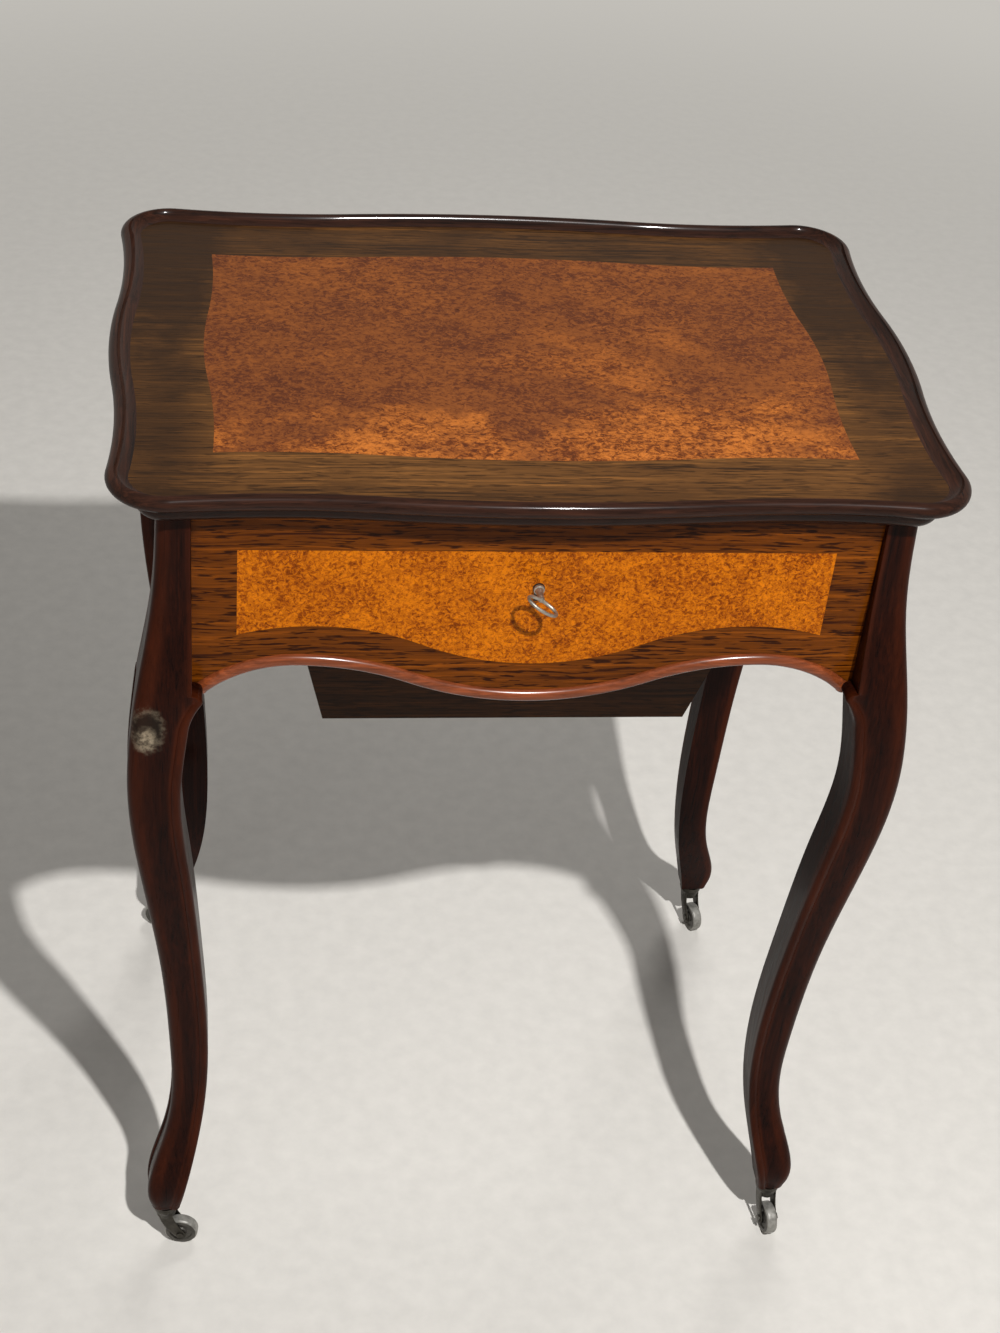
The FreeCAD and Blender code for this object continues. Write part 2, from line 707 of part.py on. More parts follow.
def build_legs():
    """Cabriole legs lofted through their stations; the other three mirror the front right one."""
    stations = [("0", "leg_top_outer", "case_top"), ("0", "shoulder_outer", "shoulder_height"),
                ("0", "hip_outer", "hip_height")]
    for name in ("knee", "calf", "shin", "ankle", "instep", "toe", "sole"):
        stations.append((f"{name}_inner", f"{name}_outer", f"{name}_height"))
    sections = [leg_section(*(value(formula) for formula in station)) for station in stations]
    loft = solid("leg_loft", Part.makeLoft(sections, True, False))
    seat_height = ("apron_end_height - leg_seat_drop", "case_top + cut_margin")
    seat_x = box("leg_seat_x", ("cavity_half_width - apron_thickness", "cavity_half_width"),
                 ("-cavity_half_depth - knee_outer", "-cavity_half_depth + apron_thickness"), seat_height)
    seat_y = box("leg_seat_y", ("cavity_half_width - apron_thickness", "cavity_half_width + knee_outer"),
                 ("-cavity_half_depth", "-cavity_half_depth + apron_thickness"), seat_height)
    bore = rod("leg_bore", "caster_bush_radius + pin_clearance", "caster_bush_length + cut_margin",
               "foot_x", "-foot_y", "sole_height - cut_margin")
    leg = cut("leg_front_right", loft, seat_x, seat_y, bore)
    left = mirror("leg_front_left", leg, X_AXIS)
    SUBPARTS.extend([leg, left, mirror("leg_back_right", leg, Y_AXIS), mirror("leg_back_left", left, Y_AXIS)])




def build_cornice():
    """A flat frame with a quarter-round lower edge, mitred into four rails."""
    low, high = value("case_top"), value("lid_bottom")
    ring = slab(outline(value("cornice_inset"), low), high - low)
    lower_edges = [edge for edge in ring.Edges if abs(edge.BoundBox.ZMax - low) < 0.001]
    ring = ring.makeFillet(value("cornice_ovolo"), lower_edges)
    half_width, half_depth = value("opening_half_width"), value("opening_half_depth")
    hole_corner = FreeCAD.Vector(-half_width, -half_depth, low)
    hole = Part.makeBox(2 * half_width, 2 * half_depth, high - low, hole_corner)
    frame = ring.cut(hole)
    for side_number, side_name in enumerate(SIDE_NAMES):
        inner = (half_width, half_depth) if side_number % 2 == 0 else (half_depth, half_width)
        rail = solid(f"cornice_{side_name}_rail", frame.common(mitre_wedge(side_number, *inner, low, high)))
        if side_name == "front":
            through = ("case_top - cut_margin", "lid_bottom + cut_margin")
            slot = box("cornice_staple_slot", STAPLE_X, STAPLE_SLOT_Y, through)
            seat = box("cornice_plate_seat", PLATE_X, PLATE_Y, ("lid_bottom - staple_plate", "lid_bottom"))
            SUBPARTS.append(cut("cornice_front", rail, slot, seat))
        elif side_name == "back":
            seats = [box(f"hinge_seat_{way}", *leaf_spans(way), ("lid_bottom - hinge_leaf", "lid_bottom"))
                     for way in ("left", "right")]
            SUBPARTS.append(cut("cornice_back", rail, *seats))
        else:
            rail.Label = f"cornice_{side_name}"
            SUBPARTS.append(rail)


# The staple's slot and its plate's seat, centred on the bolt
STAPLE_X = ("staple_at - staple_thickness / 2 - staple_slack",
            "staple_at + staple_thickness / 2 + staple_slack")
STAPLE_SLOT_Y = ("staple_middle - staple_reach - staple_slack",
                 "staple_middle + staple_reach + staple_slack")
PLATE_X = ("staple_at - staple_plate_half_length", "staple_at + staple_plate_half_length")
PLATE_Y = ("staple_middle - staple_plate_half_depth", "staple_middle + staple_plate_half_depth")


def leaf_spans(way):
    """The width and depth of a hinge leaf's seat on the left or right."""
    sign = "-" if way == "left" else ""
    across = (f"{sign}hinge_at - hinge_half_length", f"{sign}hinge_at + hinge_half_length")
    return across, ("hinge_leaf_front", "hinge_axis_depth")


def build_case():
    """The floor board with the opening of the well, the tapered well and the tray."""
    top_width, top_depth = "(well_half_width + well_flare)", "(well_half_depth + well_flare)"
    board = box("floor_board", ("-cavity_half_width", "cavity_half_width"),
                ("-cavity_half_depth", "cavity_half_depth"), ("floor_board_height", "floor_top"))
    mouth = box("floor_mouth", (f"-{top_width} + well_board", f"{top_width} - well_board"),
                (f"-{top_depth} + well_board", f"{top_depth} - well_board"),
                ("floor_board_height - cut_margin", "floor_top + cut_margin"))
    SUBPARTS.append(cut("carcass_bottom", board, mouth))

    low, high = value("well_bottom_height"), value("floor_board_height")
    wall, flare = value("well_board"), value("well_flare")
    half_width, half_depth = value("well_half_width"), value("well_half_depth")
    for side_number, side_name in enumerate(SIDE_NAMES):
        along, out = (half_width, half_depth) if side_number % 2 == 0 else (half_depth, half_width)
        rings = []
        for height, spread in ((low, 0), (high, flare)):
            plan = [(-along - spread, out + spread), (along + spread, out + spread),
                    (along + spread - wall, out + spread - wall),
                    (-along - spread + wall, out + spread - wall)]
            points = [facing(side_number, *point, height) for point in plan]
            rings.append(Part.makePolygon(points + points[:1]))
        SUBPARTS.append(solid(f"well_{side_name}", Part.makeLoft(rings, True, True)))
    slope = flare / (high - low)
    rings = []
    for height in (low, low + wall):
        spread = slope * (height - low) - wall
        corners = [(-1, -1), (1, -1), (1, 1), (-1, 1), (-1, -1)]
        points = [FreeCAD.Vector(x * (half_width + spread), y * (half_depth + spread), height)
                  for x, y in corners]
        rings.append(Part.makePolygon(points))
    SUBPARTS.append(solid("well_bottom", Part.makeLoft(rings, True, True)))

    half_x, half_y = "(opening_half_width - tray_gap)", "(opening_half_depth - tray_gap)"
    tray_bottom = "(tray_top_height - tray_depth)"
    inner_x, inner_y = f"({half_x} - tray_wall)", f"({half_y} - tray_wall)"
    shell = box("tray_block", (f"-{half_x}", half_x), (f"-{half_y}", half_y),
                (tray_bottom, "tray_top_height"))
    hollow = box("tray_hollow", (f"-{inner_x}", inner_x), (f"-{inner_y}", inner_y),
                 (f"{tray_bottom} + tray_floor", "tray_top_height + cut_margin"))
    SUBPARTS.append(cut("tray_box", shell, hollow))
    floor, top = f"{tray_bottom} + tray_floor", f"{tray_bottom} + tray_floor + divider_height"
    strips = []
    for name, sign in (("left", "-"), ("right", "")):
        middle = f"{sign}divider_at"
        thin = (f"{middle} - divider_thickness / 2", f"{middle} + divider_thickness / 2")
        strips.append(box(f"divider_{name}", thin, (f"-{inner_y}", inner_y), (floor, top)))
        reach = (f"-{inner_x}", "-divider_at") if sign else ("divider_at", inner_x)
        strips.append(box(f"divider_{name}_cross", reach, ("-divider_thickness / 2", "divider_thickness / 2"),
                          (floor, top)))
    left_strips, right_strips = strips[:2], strips[2:]
    SUBPARTS.append(group("tray_dividers", fuse("dividers_left", *left_strips),
                          fuse("dividers_right", *right_strips)))
    ledges = []
    for name, span in (("left", ("-cavity_half_width", "-cavity_half_width + tray_ledge_width")),
                       ("right", ("cavity_half_width - tray_ledge_width", "cavity_half_width"))):
        ledges.append(box(f"tray_ledge_{name}", span, (f"-{half_y}", half_y),
                          (f"{tray_bottom} - tray_ledge_height", tray_bottom)))
    SUBPARTS.append(group("tray_rests", *ledges))


def rim_section(side_number, path):
    """The rim rail's section, upright at the start of its path.

    Inside a round nose a hollow falls to the panel's level, with a flat for the veneers behind it.
    Below the nose a cove runs in to the lid's foot.
    """
    start = path.Edges[0].valueAt(path.Edges[0].FirstParameter)
    along, out = corner_centre(side_number)
    centre = facing(side_number, -along, out, start.z)
    inward = (centre - start).normalize()

    def at(inset, height):
        return start + inward * inset + FreeCAD.Vector(0, 0, height - start.z)

    foot, panel, crest = value("lid_bottom"), value("panel_top"), value("table_height")
    ground = panel - value("veneer")
    nose, lip, width = value("rim_nose_radius"), value("rim_lip_width"), value("rim_width")
    foot_inset, cove = value("rim_foot_inset"), value("rim_foot_inset - rim_nose_radius")
    hollow = ((lip - nose) ** 2 + (crest - panel) ** 2) / (2 * (crest - panel))
    half_turn = math.acos(1 - (crest - panel) / hollow) / 2
    diagonal = math.sqrt(0.5)
    nose_low = crest - 2 * nose
    mid_hollow = at(lip - hollow * math.sin(half_turn), panel + hollow * (1 - math.cos(half_turn)))
    edges = [
        Part.makeLine(at(foot_inset, foot), at(width, foot)),
        Part.makeLine(at(width, foot), at(width, ground)),
        Part.makeLine(at(width, ground), at(lip, ground)),
        Part.makeLine(at(lip, ground), at(lip, panel)),
        Part.Arc(at(lip, panel), mid_hollow, at(nose, crest)).toShape(),
        Part.Arc(at(nose, crest), at(0, crest - nose), at(nose, nose_low)).toShape(),
        Part.Arc(at(nose, nose_low), at(nose + cove * diagonal, foot + (nose_low - foot) * diagonal),
                 at(foot_inset, foot)).toShape(),
    ]
    return Part.Wire(edges)


def build_lid():
    """Rim rails mitred round a ground, with a burr panel and four bandings laid on it."""
    foot, ground = value("lid_bottom"), value("panel_top - veneer")
    veneer = value("veneer")
    seats = [box(f"lid_hinge_seat_{way}", *leaf_spans(way), ("lid_bottom", "lid_bottom + hinge_leaf"))
             for way in ("left", "right")]
    for side_number, side_name in enumerate(SIDE_NAMES):
        path = side_path(side_number, 0, ground)
        sweep = path.makePipeShell([rim_section(side_number, path)], True, False)
        rail = solid(f"rim_{side_name}_rail", sweep)
        if side_name == "back":
            SUBPARTS.append(cut("rim_back", rail, *seats))
        else:
            rail.Label = f"rim_{side_name}"
            SUBPARTS.append(rail)
    board = solid("lid_board", slab(outline(value("rim_width"), foot), ground - foot))
    recess = box("mirror_recess", ("-mirror_half_width", "mirror_half_width"),
                 ("-mirror_half_depth", "mirror_half_depth"),
                 ("lid_bottom - cut_margin", "lid_bottom + mirror_thickness"))
    SUBPARTS.append(cut("lid_core", board, recess, *seats))

    panel_wire, corner = sharp_outline(value("banding_inset"), ground)
    panel = slab(panel_wire, veneer)
    SUBPARTS.append(solid("top_burr", panel))
    band = slab(outline(value("rim_lip_width"), ground), veneer).cut(panel)
    for side_number, side_name in enumerate(SIDE_NAMES):
        inner = (corner.x, corner.y) if side_number % 2 == 0 else (corner.y, corner.x)
        wedge = mitre_wedge(side_number, *inner, ground, ground + veneer, value("banding_inset"))
        SUBPARTS.append(solid(f"banding_{side_name}", band.common(wedge)))


def build_mirror():
    """The mirror let into the lid's underside, and the mitred strips that lap its edges."""
    SUBPARTS.append(box("mirror_glass", ("-mirror_half_width", "mirror_half_width"),
                        ("-mirror_half_depth", "mirror_half_depth"),
                        ("lid_bottom", "lid_bottom + mirror_thickness")))
    low = value("lid_bottom - mirror_strip_height")
    height, width = value("mirror_strip_height"), value("mirror_strip_width")
    lap = value("mirror_strip_lap")
    half_width, half_depth = value("mirror_half_width") - lap, value("mirror_half_depth") - lap
    strips = []
    for side_number, side_name in enumerate(SIDE_NAMES):
        along, out = (half_width, half_depth) if side_number % 2 == 0 else (half_depth, half_width)
        plan = [(-along, out), (along, out), (along + width, out + width), (-along - width, out + width)]
        points = [facing(side_number, *point, low) for point in plan]
        strips.append(solid(f"mirror_strip_{side_name}", slab(Part.makePolygon(points + points[:1]), height)))
    SUBPARTS.append(group("mirror_frame", *strips))


def build_hinges():
    """Two butt hinges let into the cornice and the lid: two outer knuckles, one middle one and a pin."""
    third = "(2 * hinge_half_length / 3)"
    frame_leaves, lid_leaves, pins = [], [], []
    for way, sign in (("left", "-"), ("right", "")):
        across, depth = leaf_spans(way)
        start = across[0]

        def barrel(name, radius, first, length):
            return rod(f"hinge_{way}_{name}", radius, length, f"{start} + {first}", "hinge_axis_depth",
                       "lid_bottom", X_AXIS)

        bore_radius = "hinge_pin_radius + pin_clearance"
        bore_length = "2 * (hinge_half_length + cut_margin)"
        room = "hinge_knuckle_radius + hinge_slack"
        room_length = f"{third} + 2 * hinge_slack"
        below, above = ("lid_bottom - hinge_leaf", "lid_bottom"), ("lid_bottom", "lid_bottom + hinge_leaf")
        frame_plate = box(f"hinge_{way}_frame_plate", across, depth, below)
        lid_plate = box(f"hinge_{way}_lid_plate", across, depth, above)
        frame_blank = fuse(f"hinge_{way}_frame_blank", frame_plate,
                           barrel("first_knuckle", "hinge_knuckle_radius", "0", third),
                           barrel("last_knuckle", "hinge_knuckle_radius", f"2 * {third}", third))
        lid_blank = fuse(f"hinge_{way}_lid_blank", lid_plate,
                         barrel("middle_knuckle", "hinge_knuckle_radius", f"{third}", third))
        frame_leaves.append(cut(f"hinge_{way}_frame_leaf", frame_blank,
                                barrel("middle_room", room, f"{third} - hinge_slack", room_length),
                                barrel("frame_bore", bore_radius, "-cut_margin", bore_length)))
        lid_leaves.append(cut(f"hinge_{way}_lid_leaf", lid_blank,
                              barrel("first_room", room, "-cut_margin", f"{third} + cut_margin"),
                              barrel("last_room", room, f"2 * {third}", f"{third} + cut_margin"),
                              barrel("lid_bore", bore_radius, "-cut_margin", bore_length)))
        head_radius = "hinge_knuckle_radius - hinge_slack"
        pins.append(fuse(f"hinge_{way}_pin",
                         barrel("pin_shank", "hinge_pin_radius", "0", "2 * hinge_half_length"),
                         barrel("pin_head", head_radius, "-hinge_pin_head", "hinge_pin_head"),
                         barrel("pin_foot", head_radius, "2 * hinge_half_length", "hinge_pin_head")))
    SUBPARTS.append(group("hinge_frame_leaves", *frame_leaves))
    SUBPARTS.append(group("hinge_lid_leaves", *lid_leaves))
    SUBPARTS.append(group("hinge_pins", *pins))


def build_lock():
    """A box lock behind the front apron, its bolt, the staple on the lid and the key."""
    inner_back = "(lock_back - lock_wall)"
    block = box("lock_block", ("-lock_half_width", "lock_half_width"), ("lock_front", "lock_back"),
                ("lock_bottom_height", "case_top"))
    hollow = box("lock_hollow", ("-lock_half_width + lock_wall", "lock_half_width - lock_wall"),
                 ("lock_front - cut_margin", inner_back),
                 ("lock_bottom_height + lock_wall", "case_top - lock_wall"))
    through = ("case_top - lock_wall - cut_margin", "case_top + cut_margin")
    slot = box("lock_slot", STAPLE_X, STAPLE_SLOT_Y, through)
    shell = cut("lock_shell", block, hollow, slot)
    bolt_back = "(staple_middle + bolt_thickness / 2)"
    guide_y = (f"{bolt_back} + bolt_slack", inner_back)
    guide_left = box("lock_guide_left", ("-lock_half_width + lock_wall", f"{STAPLE_X[0]} - staple_slack"),
                     guide_y, ("bolt_bottom", "bolt_top"))
    guide_right = box("lock_guide_right", (f"{STAPLE_X[1]} + staple_slack", "lock_half_width - lock_wall"),
                      guide_y, ("bolt_bottom", "bolt_top"))
    SUBPARTS.append(fuse("lock_case", shell, guide_left, guide_right))

    tip = f"({STAPLE_X[0]} - staple_slack)"
    bolt_y = ("staple_middle - bolt_thickness / 2", bolt_back)
    bar = box("bolt_bar", (f"{tip} - bolt_length", tip), bolt_y, ("bolt_bottom", "bolt_top"))
    tail = box("bolt_tail", (f"{tip} - bolt_length", f"{tip} - bolt_length + bolt_tail_width"), bolt_y,
               ("key_height + key_bit_radius + key_clearance", "bolt_top"))
    SUBPARTS.append(fuse("lock_bolt", bar, tail))

    staple_bottom = "(bolt_bottom - staple_slack - staple_arm)"
    plate_bottom = "(lid_bottom - staple_plate)"
    thick = ("staple_at - staple_thickness / 2", "staple_at + staple_thickness / 2")
    loop = box("staple_loop", thick, ("staple_middle - staple_reach", "staple_middle + staple_reach"),
               (staple_bottom, plate_bottom))
    eye = box("staple_eye", (f"{thick[0]} - cut_margin", f"{thick[1]} + cut_margin"),
              ("staple_middle - staple_reach + staple_arm", "staple_middle + staple_reach - staple_arm"),
              (f"{staple_bottom} + staple_arm", "bolt_top + staple_slack"))
    plate = box("staple_plate_leaf", PLATE_X, PLATE_Y, (plate_bottom, "lid_bottom"))
    SUBPARTS.append(fuse("lid_staple", cut("staple_ring", loop, eye), plate))
    build_key()




def build_key():
    """A key in the lock: ring bow, collar, shaft and a bit in the plane of the bow."""
    bow_depth = "(-apron_face - key_reach)"
    shaft_start = f"({bow_depth} + key_bow_radius)"
    bit_front = "(lock_front + key_clearance)"
    shaft_end = f"({bit_front} + key_bit_width + key_clearance)"
    along_key = {"y": shaft_start, "z": "key_height", "axis": Y_AXIS}
    shaft = rod("key_shaft", "key_shaft_radius", f"{shaft_end} - {shaft_start}", **along_key)
    collar = rod("key_collar", "key_collar_radius", "key_collar_length", **along_key)
    bow = doc.addObject("Part::Torus", "key_bow")
    bow.setExpression("Radius1", bound("key_bow_radius"))
    bow.setExpression("Radius2", bound("key_bow_wire"))
    turn = FreeCAD.Rotation(Y_AXIS, value("key_bow_turn"))
    bow.Placement.Rotation = turn
    place(bow, "0", bow_depth, "key_height")
    bit = doc.addObject("Part::Box", "key_bit")
    bit_sizes = (("Length", "key_bit_radius"), ("Width", "key_bit_width"), ("Height", "key_bit_thickness"))
    for side, formula in bit_sizes:
        bit.setExpression(side, bound(formula))
    bit.Placement.Rotation = turn
    shift_x = "-key_bit_thickness / 2 * sin(key_bow_turn * 1deg)"
    shift_z = "key_height - key_bit_thickness / 2 * cos(key_bow_turn * 1deg)"
    place(bit, shift_x, bit_front, shift_z)
    SUBPARTS.append(fuse("key", shaft, collar, bow, bit))


def build_casters():
    """A socket in each foot, and under it a fork that swivels and trails its wheel."""
    plate_low = "(sole_height - caster_plate)"
    fork_top = f"({plate_low} - caster_slack)"
    fork_low = f"({fork_top} - caster_fork_plate)"
    stem_top = "(sole_height + caster_bush_length - caster_plate)"
    sockets = []
    corners = [(way, side) for way in ("front", "back") for side in ("left", "right")]
    for way, side in corners:
        x, y = ("-" if side == "left" else "") + "foot_x", ("-" if way == "front" else "") + "foot_y"
        name = f"socket_{way}_{side}"
        plate = rod(f"{name}_plate", "caster_plate_radius", "caster_plate", x, y, plate_low)
        bush = rod(f"{name}_bush", "caster_bush_radius", "caster_bush_length", x, y, "sole_height")
        blank = fuse(f"{name}_blank", plate, bush)
        bore = rod(f"{name}_bore", "caster_stem_radius + pin_clearance",
                   f"{stem_top} + caster_slack - {plate_low} + cut_margin", x, y, f"{plate_low} - cut_margin")
        sockets.append(cut(name, blank, bore))
    SUBPARTS.append(group("caster_sockets", *sockets))

    trail, wheel_radius = value("caster_trail"), value("caster_wheel_radius")
    boss, plate_reach = value("caster_boss_radius"), value("caster_fork_radius")
    low = value(f"{fork_low} + caster_fork_plate / 2")
    inner = value("caster_wheel_width / 2 + caster_cheek_gap")
    cheek = value("caster_cheek")
    points = [FreeCAD.Vector(x, 0, z) for x, z in
              ((trail - boss, wheel_radius), (-plate_reach / 2, low), (plate_reach / 2, low),
               (trail + boss, wheel_radius), (trail, wheel_radius - boss))]
    edges = [Part.makeLine(points[0], points[1]), Part.makeLine(points[1], points[2]),
             Part.makeLine(points[2], points[3]), Part.Arc(points[3], points[4], points[0]).toShape()]
    cheek_face = Part.Face(Part.Wire(edges))
    cheek_left = solid("cheek_left", cheek_face.extrude(Y_AXIS * cheek).translated(Y_AXIS * inner))
    cheek_right = solid("cheek_right", cheek_face.extrude(Y_AXIS * -cheek).translated(Y_AXIS * -inner))
    half_fork = "(caster_wheel_width / 2 + caster_cheek_gap + caster_cheek)"
    disc = rod("fork_disc", "caster_fork_radius", "caster_fork_plate", z=fork_low)
    stem = rod("fork_stem", "caster_stem_radius", f"{stem_top} - {fork_top}", z=fork_top)
    axle_hole = rod("fork_axle_hole", "caster_axle_radius + pin_clearance", f"2 * ({half_fork} + cut_margin)",
                    "caster_trail", f"-{half_fork} - cut_margin", "caster_wheel_radius", Y_AXIS)
    fork = cut("fork_pattern", fuse("fork_blank", disc, stem, cheek_left, cheek_right), axle_hole)
    tread = rod("wheel_tread", "caster_wheel_radius", "caster_wheel_width", "caster_trail",
                "-caster_wheel_width / 2", "caster_wheel_radius", Y_AXIS)
    wheel_bore = rod("wheel_bore", "caster_axle_radius + pin_clearance", "caster_wheel_width + 2*cut_margin",
                     "caster_trail", "-caster_wheel_width / 2 - cut_margin", "caster_wheel_radius", Y_AXIS)
    wheel = cut("wheel_pattern", tread, wheel_bore)
    ends = [(f"-{half_fork} - caster_rivet", "head"), (half_fork, "foot")]
    rivets = [rod(f"axle_{name}", "caster_rivet_radius", "caster_rivet", "caster_trail", start,
                  "caster_wheel_radius", Y_AXIS) for start, name in ends]
    shank = rod("axle_shank", "caster_axle_radius", f"2 * {half_fork}", "caster_trail", f"-{half_fork}",
                "caster_wheel_radius", Y_AXIS)
    axle = fuse("axle_pattern", *rivets, shank)
    doc.recompute()
    eased = wheel.Shape.makeChamfer(value("caster_tread_chamfer"), [
        edge for edge in wheel.Shape.Edges
        if isinstance(edge.Curve, Part.Circle) and abs(edge.Curve.Radius - wheel_radius) < 0.001])
    for way, side in corners:
        x = value("foot_x") * (-1 if side == "left" else 1)
        y = value("foot_y") * (-1 if way == "front" else 1)
        turn = FreeCAD.Rotation(Z_AXIS, value(f"caster_turn_{way}_{side}"))
        for name, shape in (("fork", fork.Shape), ("wheel", eased), ("axle", axle.Shape)):
            piece = solid(f"caster_{name}_{way}_{side}", shape.copy())
            piece.Placement = FreeCAD.Placement(FreeCAD.Vector(x, y, 0), turn)
            SUBPARTS.append(piece)


SUBPARTS = []
build_legs()
build_aprons()
build_front_inlay()
build_cornice()
build_case()
build_lid()
build_mirror()
build_hinges()
build_lock()
build_casters()
doc.recompute()

for item in doc.Objects:
    if {"Invalid", "Error"} & set(item.State):
        raise RuntimeError(f"{item.Name} failed to build")
for subpart in SUBPARTS:
    if subpart.Shape.isNull() or not subpart.Shape.isValid():
        raise RuntimeError(f"{subpart.Label} has no valid shape")

os.makedirs("parts", exist_ok=True)
for subpart in SUBPARTS:
    subpart.Shape.exportStep(f"parts/{subpart.Label}.step")
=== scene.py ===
import json
import math

import bmesh
import bpy
import numpy as np
from bpy.props import FloatProperty, FloatVectorProperty, PointerProperty
from mathutils import Matrix, Vector


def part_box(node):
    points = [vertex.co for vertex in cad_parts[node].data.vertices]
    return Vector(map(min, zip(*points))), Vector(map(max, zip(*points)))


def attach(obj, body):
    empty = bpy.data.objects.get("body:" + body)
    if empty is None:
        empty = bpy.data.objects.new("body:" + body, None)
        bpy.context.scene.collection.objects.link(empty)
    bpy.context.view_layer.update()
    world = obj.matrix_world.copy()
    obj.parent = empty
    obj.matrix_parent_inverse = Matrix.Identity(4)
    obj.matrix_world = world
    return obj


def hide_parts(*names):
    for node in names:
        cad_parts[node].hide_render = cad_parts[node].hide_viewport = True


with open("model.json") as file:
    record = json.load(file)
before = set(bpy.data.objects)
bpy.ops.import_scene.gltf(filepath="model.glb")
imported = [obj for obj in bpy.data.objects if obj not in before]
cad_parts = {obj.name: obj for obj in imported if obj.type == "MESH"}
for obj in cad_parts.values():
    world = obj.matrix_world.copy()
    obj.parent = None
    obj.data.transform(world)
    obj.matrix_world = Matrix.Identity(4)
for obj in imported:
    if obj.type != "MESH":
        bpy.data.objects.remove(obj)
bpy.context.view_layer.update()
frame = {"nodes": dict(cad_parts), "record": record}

# A serpentine-topped dressing table on cabriole legs, dressed round its solids.
# Metres, +Z up, front towards -Y.

bl_info = {
    "name": "Serpentine dressing table",
    "version": (1, 0, 0),
    "blender": (4, 5, 0),
    "location": "3D View > Sidebar > Dressing Table",
    "description": "Mouldings, legs, fittings and finishes of a small veneered dressing table",
    "category": "Object",
}

NODES = frame["nodes"]
MM = 0.001
SIDES = ("front", "right", "back", "left")
CORNERS = {"front_left": (-1, -1), "front_right": (1, -1), "back_left": (-1, 1), "back_right": (1, 1)}
JOINTS = {joint["name"]: joint for joint in frame["record"]["behaviour"]["joints"]}
# Each axis of the grain, and the sides of the table that it runs along
GRAIN = (("x", ("front", "back")), ("y", ("left", "right")))
# The least angle between faces that shows as an edge
SHARP_ANGLE = math.radians(32)

# Height, inner face and outer face of a leg, in millimetres, from sole to top
LEG_STATIONS = ((45, 12.5, 33.5), (62, 9.2, 36.8), (112, -2, 25), (200, -9.9, 18.1), (300, -5.6, 24.3),
                (402, 2.3, 36.8), (483, 7.3, 42.8), (551, 0, 36.6), (615, 0, 25.8), (681, 0, 21.8))
# Angles in degrees at which a leg's bead and the plain edge above it stop
BEAD_END, EDGE_END = 35, 84
# Reach of the soft hollow beside the bead
COVE_REACH = 7 * MM
# Points round half a leg's section: each part of the inner face, the bead, the outer face and the corner
BACK_POINTS, BEAD_POINTS, FACE_POINTS, CORNER_POINTS = 6, 17, 18, 7
# Powers by which points crowd towards the bead on a leg's faces, and towards the ends of an apron's bead
FACE_CROWDING, END_CROWDING = 1.4, 1.7
# Least half width of a caster's cheek at its tip, as a share of its round end
TIP_SHARE = 0.02
# How red the painted highlight makes a leg's outer corner beside its beads
CORNER_HIGHLIGHT = 0.75
# Middle and radius of the worn patch on the front left knee, and of the barest spot in it
WORN_PATCH = (-0.247, -0.19, 0.5304), 0.0145
BARE_SPOT = (-0.2475, -0.19, 0.5235), 0.0095
# Dark eyes of the burrs: cells in a metre, share of cells without an eye, size in a cell and strength
BURR_EYES = ((46.0, 0.8, 0.07, 0.85), (170.0, 0.62, 0.16, 0.6))
# Where the fade of a burr begins and ends, counted from the middle of the table towards the back
FADE_SPAN = -0.175, 0.0

# The factor and the two colours among the inputs of a Mix node, and the colour among its outputs
MIX_INPUTS, MIX_RESULT = (0, 6, 7), 2

# Middle of the floor to its sides
FLOOR_REACH = 8.0
# Colour and strength of the light from all round
SURROUND = (1.0, 0.97, 0.93)
SURROUND_STRENGTH = 0.09
# The pale backdrop, and how far out the floor begins and ends to run into it
BACKDROP = (0.56, 0.54, 0.50)
BACKDROP_FADE = 1.1, 3.0
# Place, size and power in watts of each lamp, and the spot that they all point at
LIGHTS = (("key", (0.44, -1.70, 2.62), 0.06, 84), ("fill", (-1.2, -2.2, 1.2), 1.4, 7),
          ("back", (0.5, 1.5, 2.2), 0.9, 18))
AIM = Vector((0, 0, 0.5))
# Place of the camera and its right, up and back
CAMERA_AT = (-0.20888, -1.27086, 1.40770)
CAMERA_AXES = ((0.99083, -0.10824, 0.08088), (0.0015, 0.6073, 0.7945), (-0.13511, -0.78706, 0.60190))
# Focal length and width of the film in millimetres, and the picture's width and height in pixels
LENS, FILM_WIDTH = 57.96, 36
PICTURE = 1000, 1333
# The nearest that the camera shows
NEAREST = 10 * MM


def low(node):
    """The lowest corner of a solid."""
    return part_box(node)[0]


def high(node):
    """The highest corner of a solid."""
    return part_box(node)[1]


def length(label, words, default):
    """A size in metres for the sidebar."""
    return FloatProperty(name=label, description=words, default=default, unit="LENGTH", precision=4)


def share(label, words, default):
    """A part of a length for the sidebar."""
    return FloatProperty(name=label, description=words, default=default, subtype="FACTOR", min=0, max=1)


def colour(label, words, default):
    """A colour for the sidebar, in linear light."""
    return FloatVectorProperty(name=label, description=words, default=default, subtype="COLOR",
                               size=3, min=0, max=1)


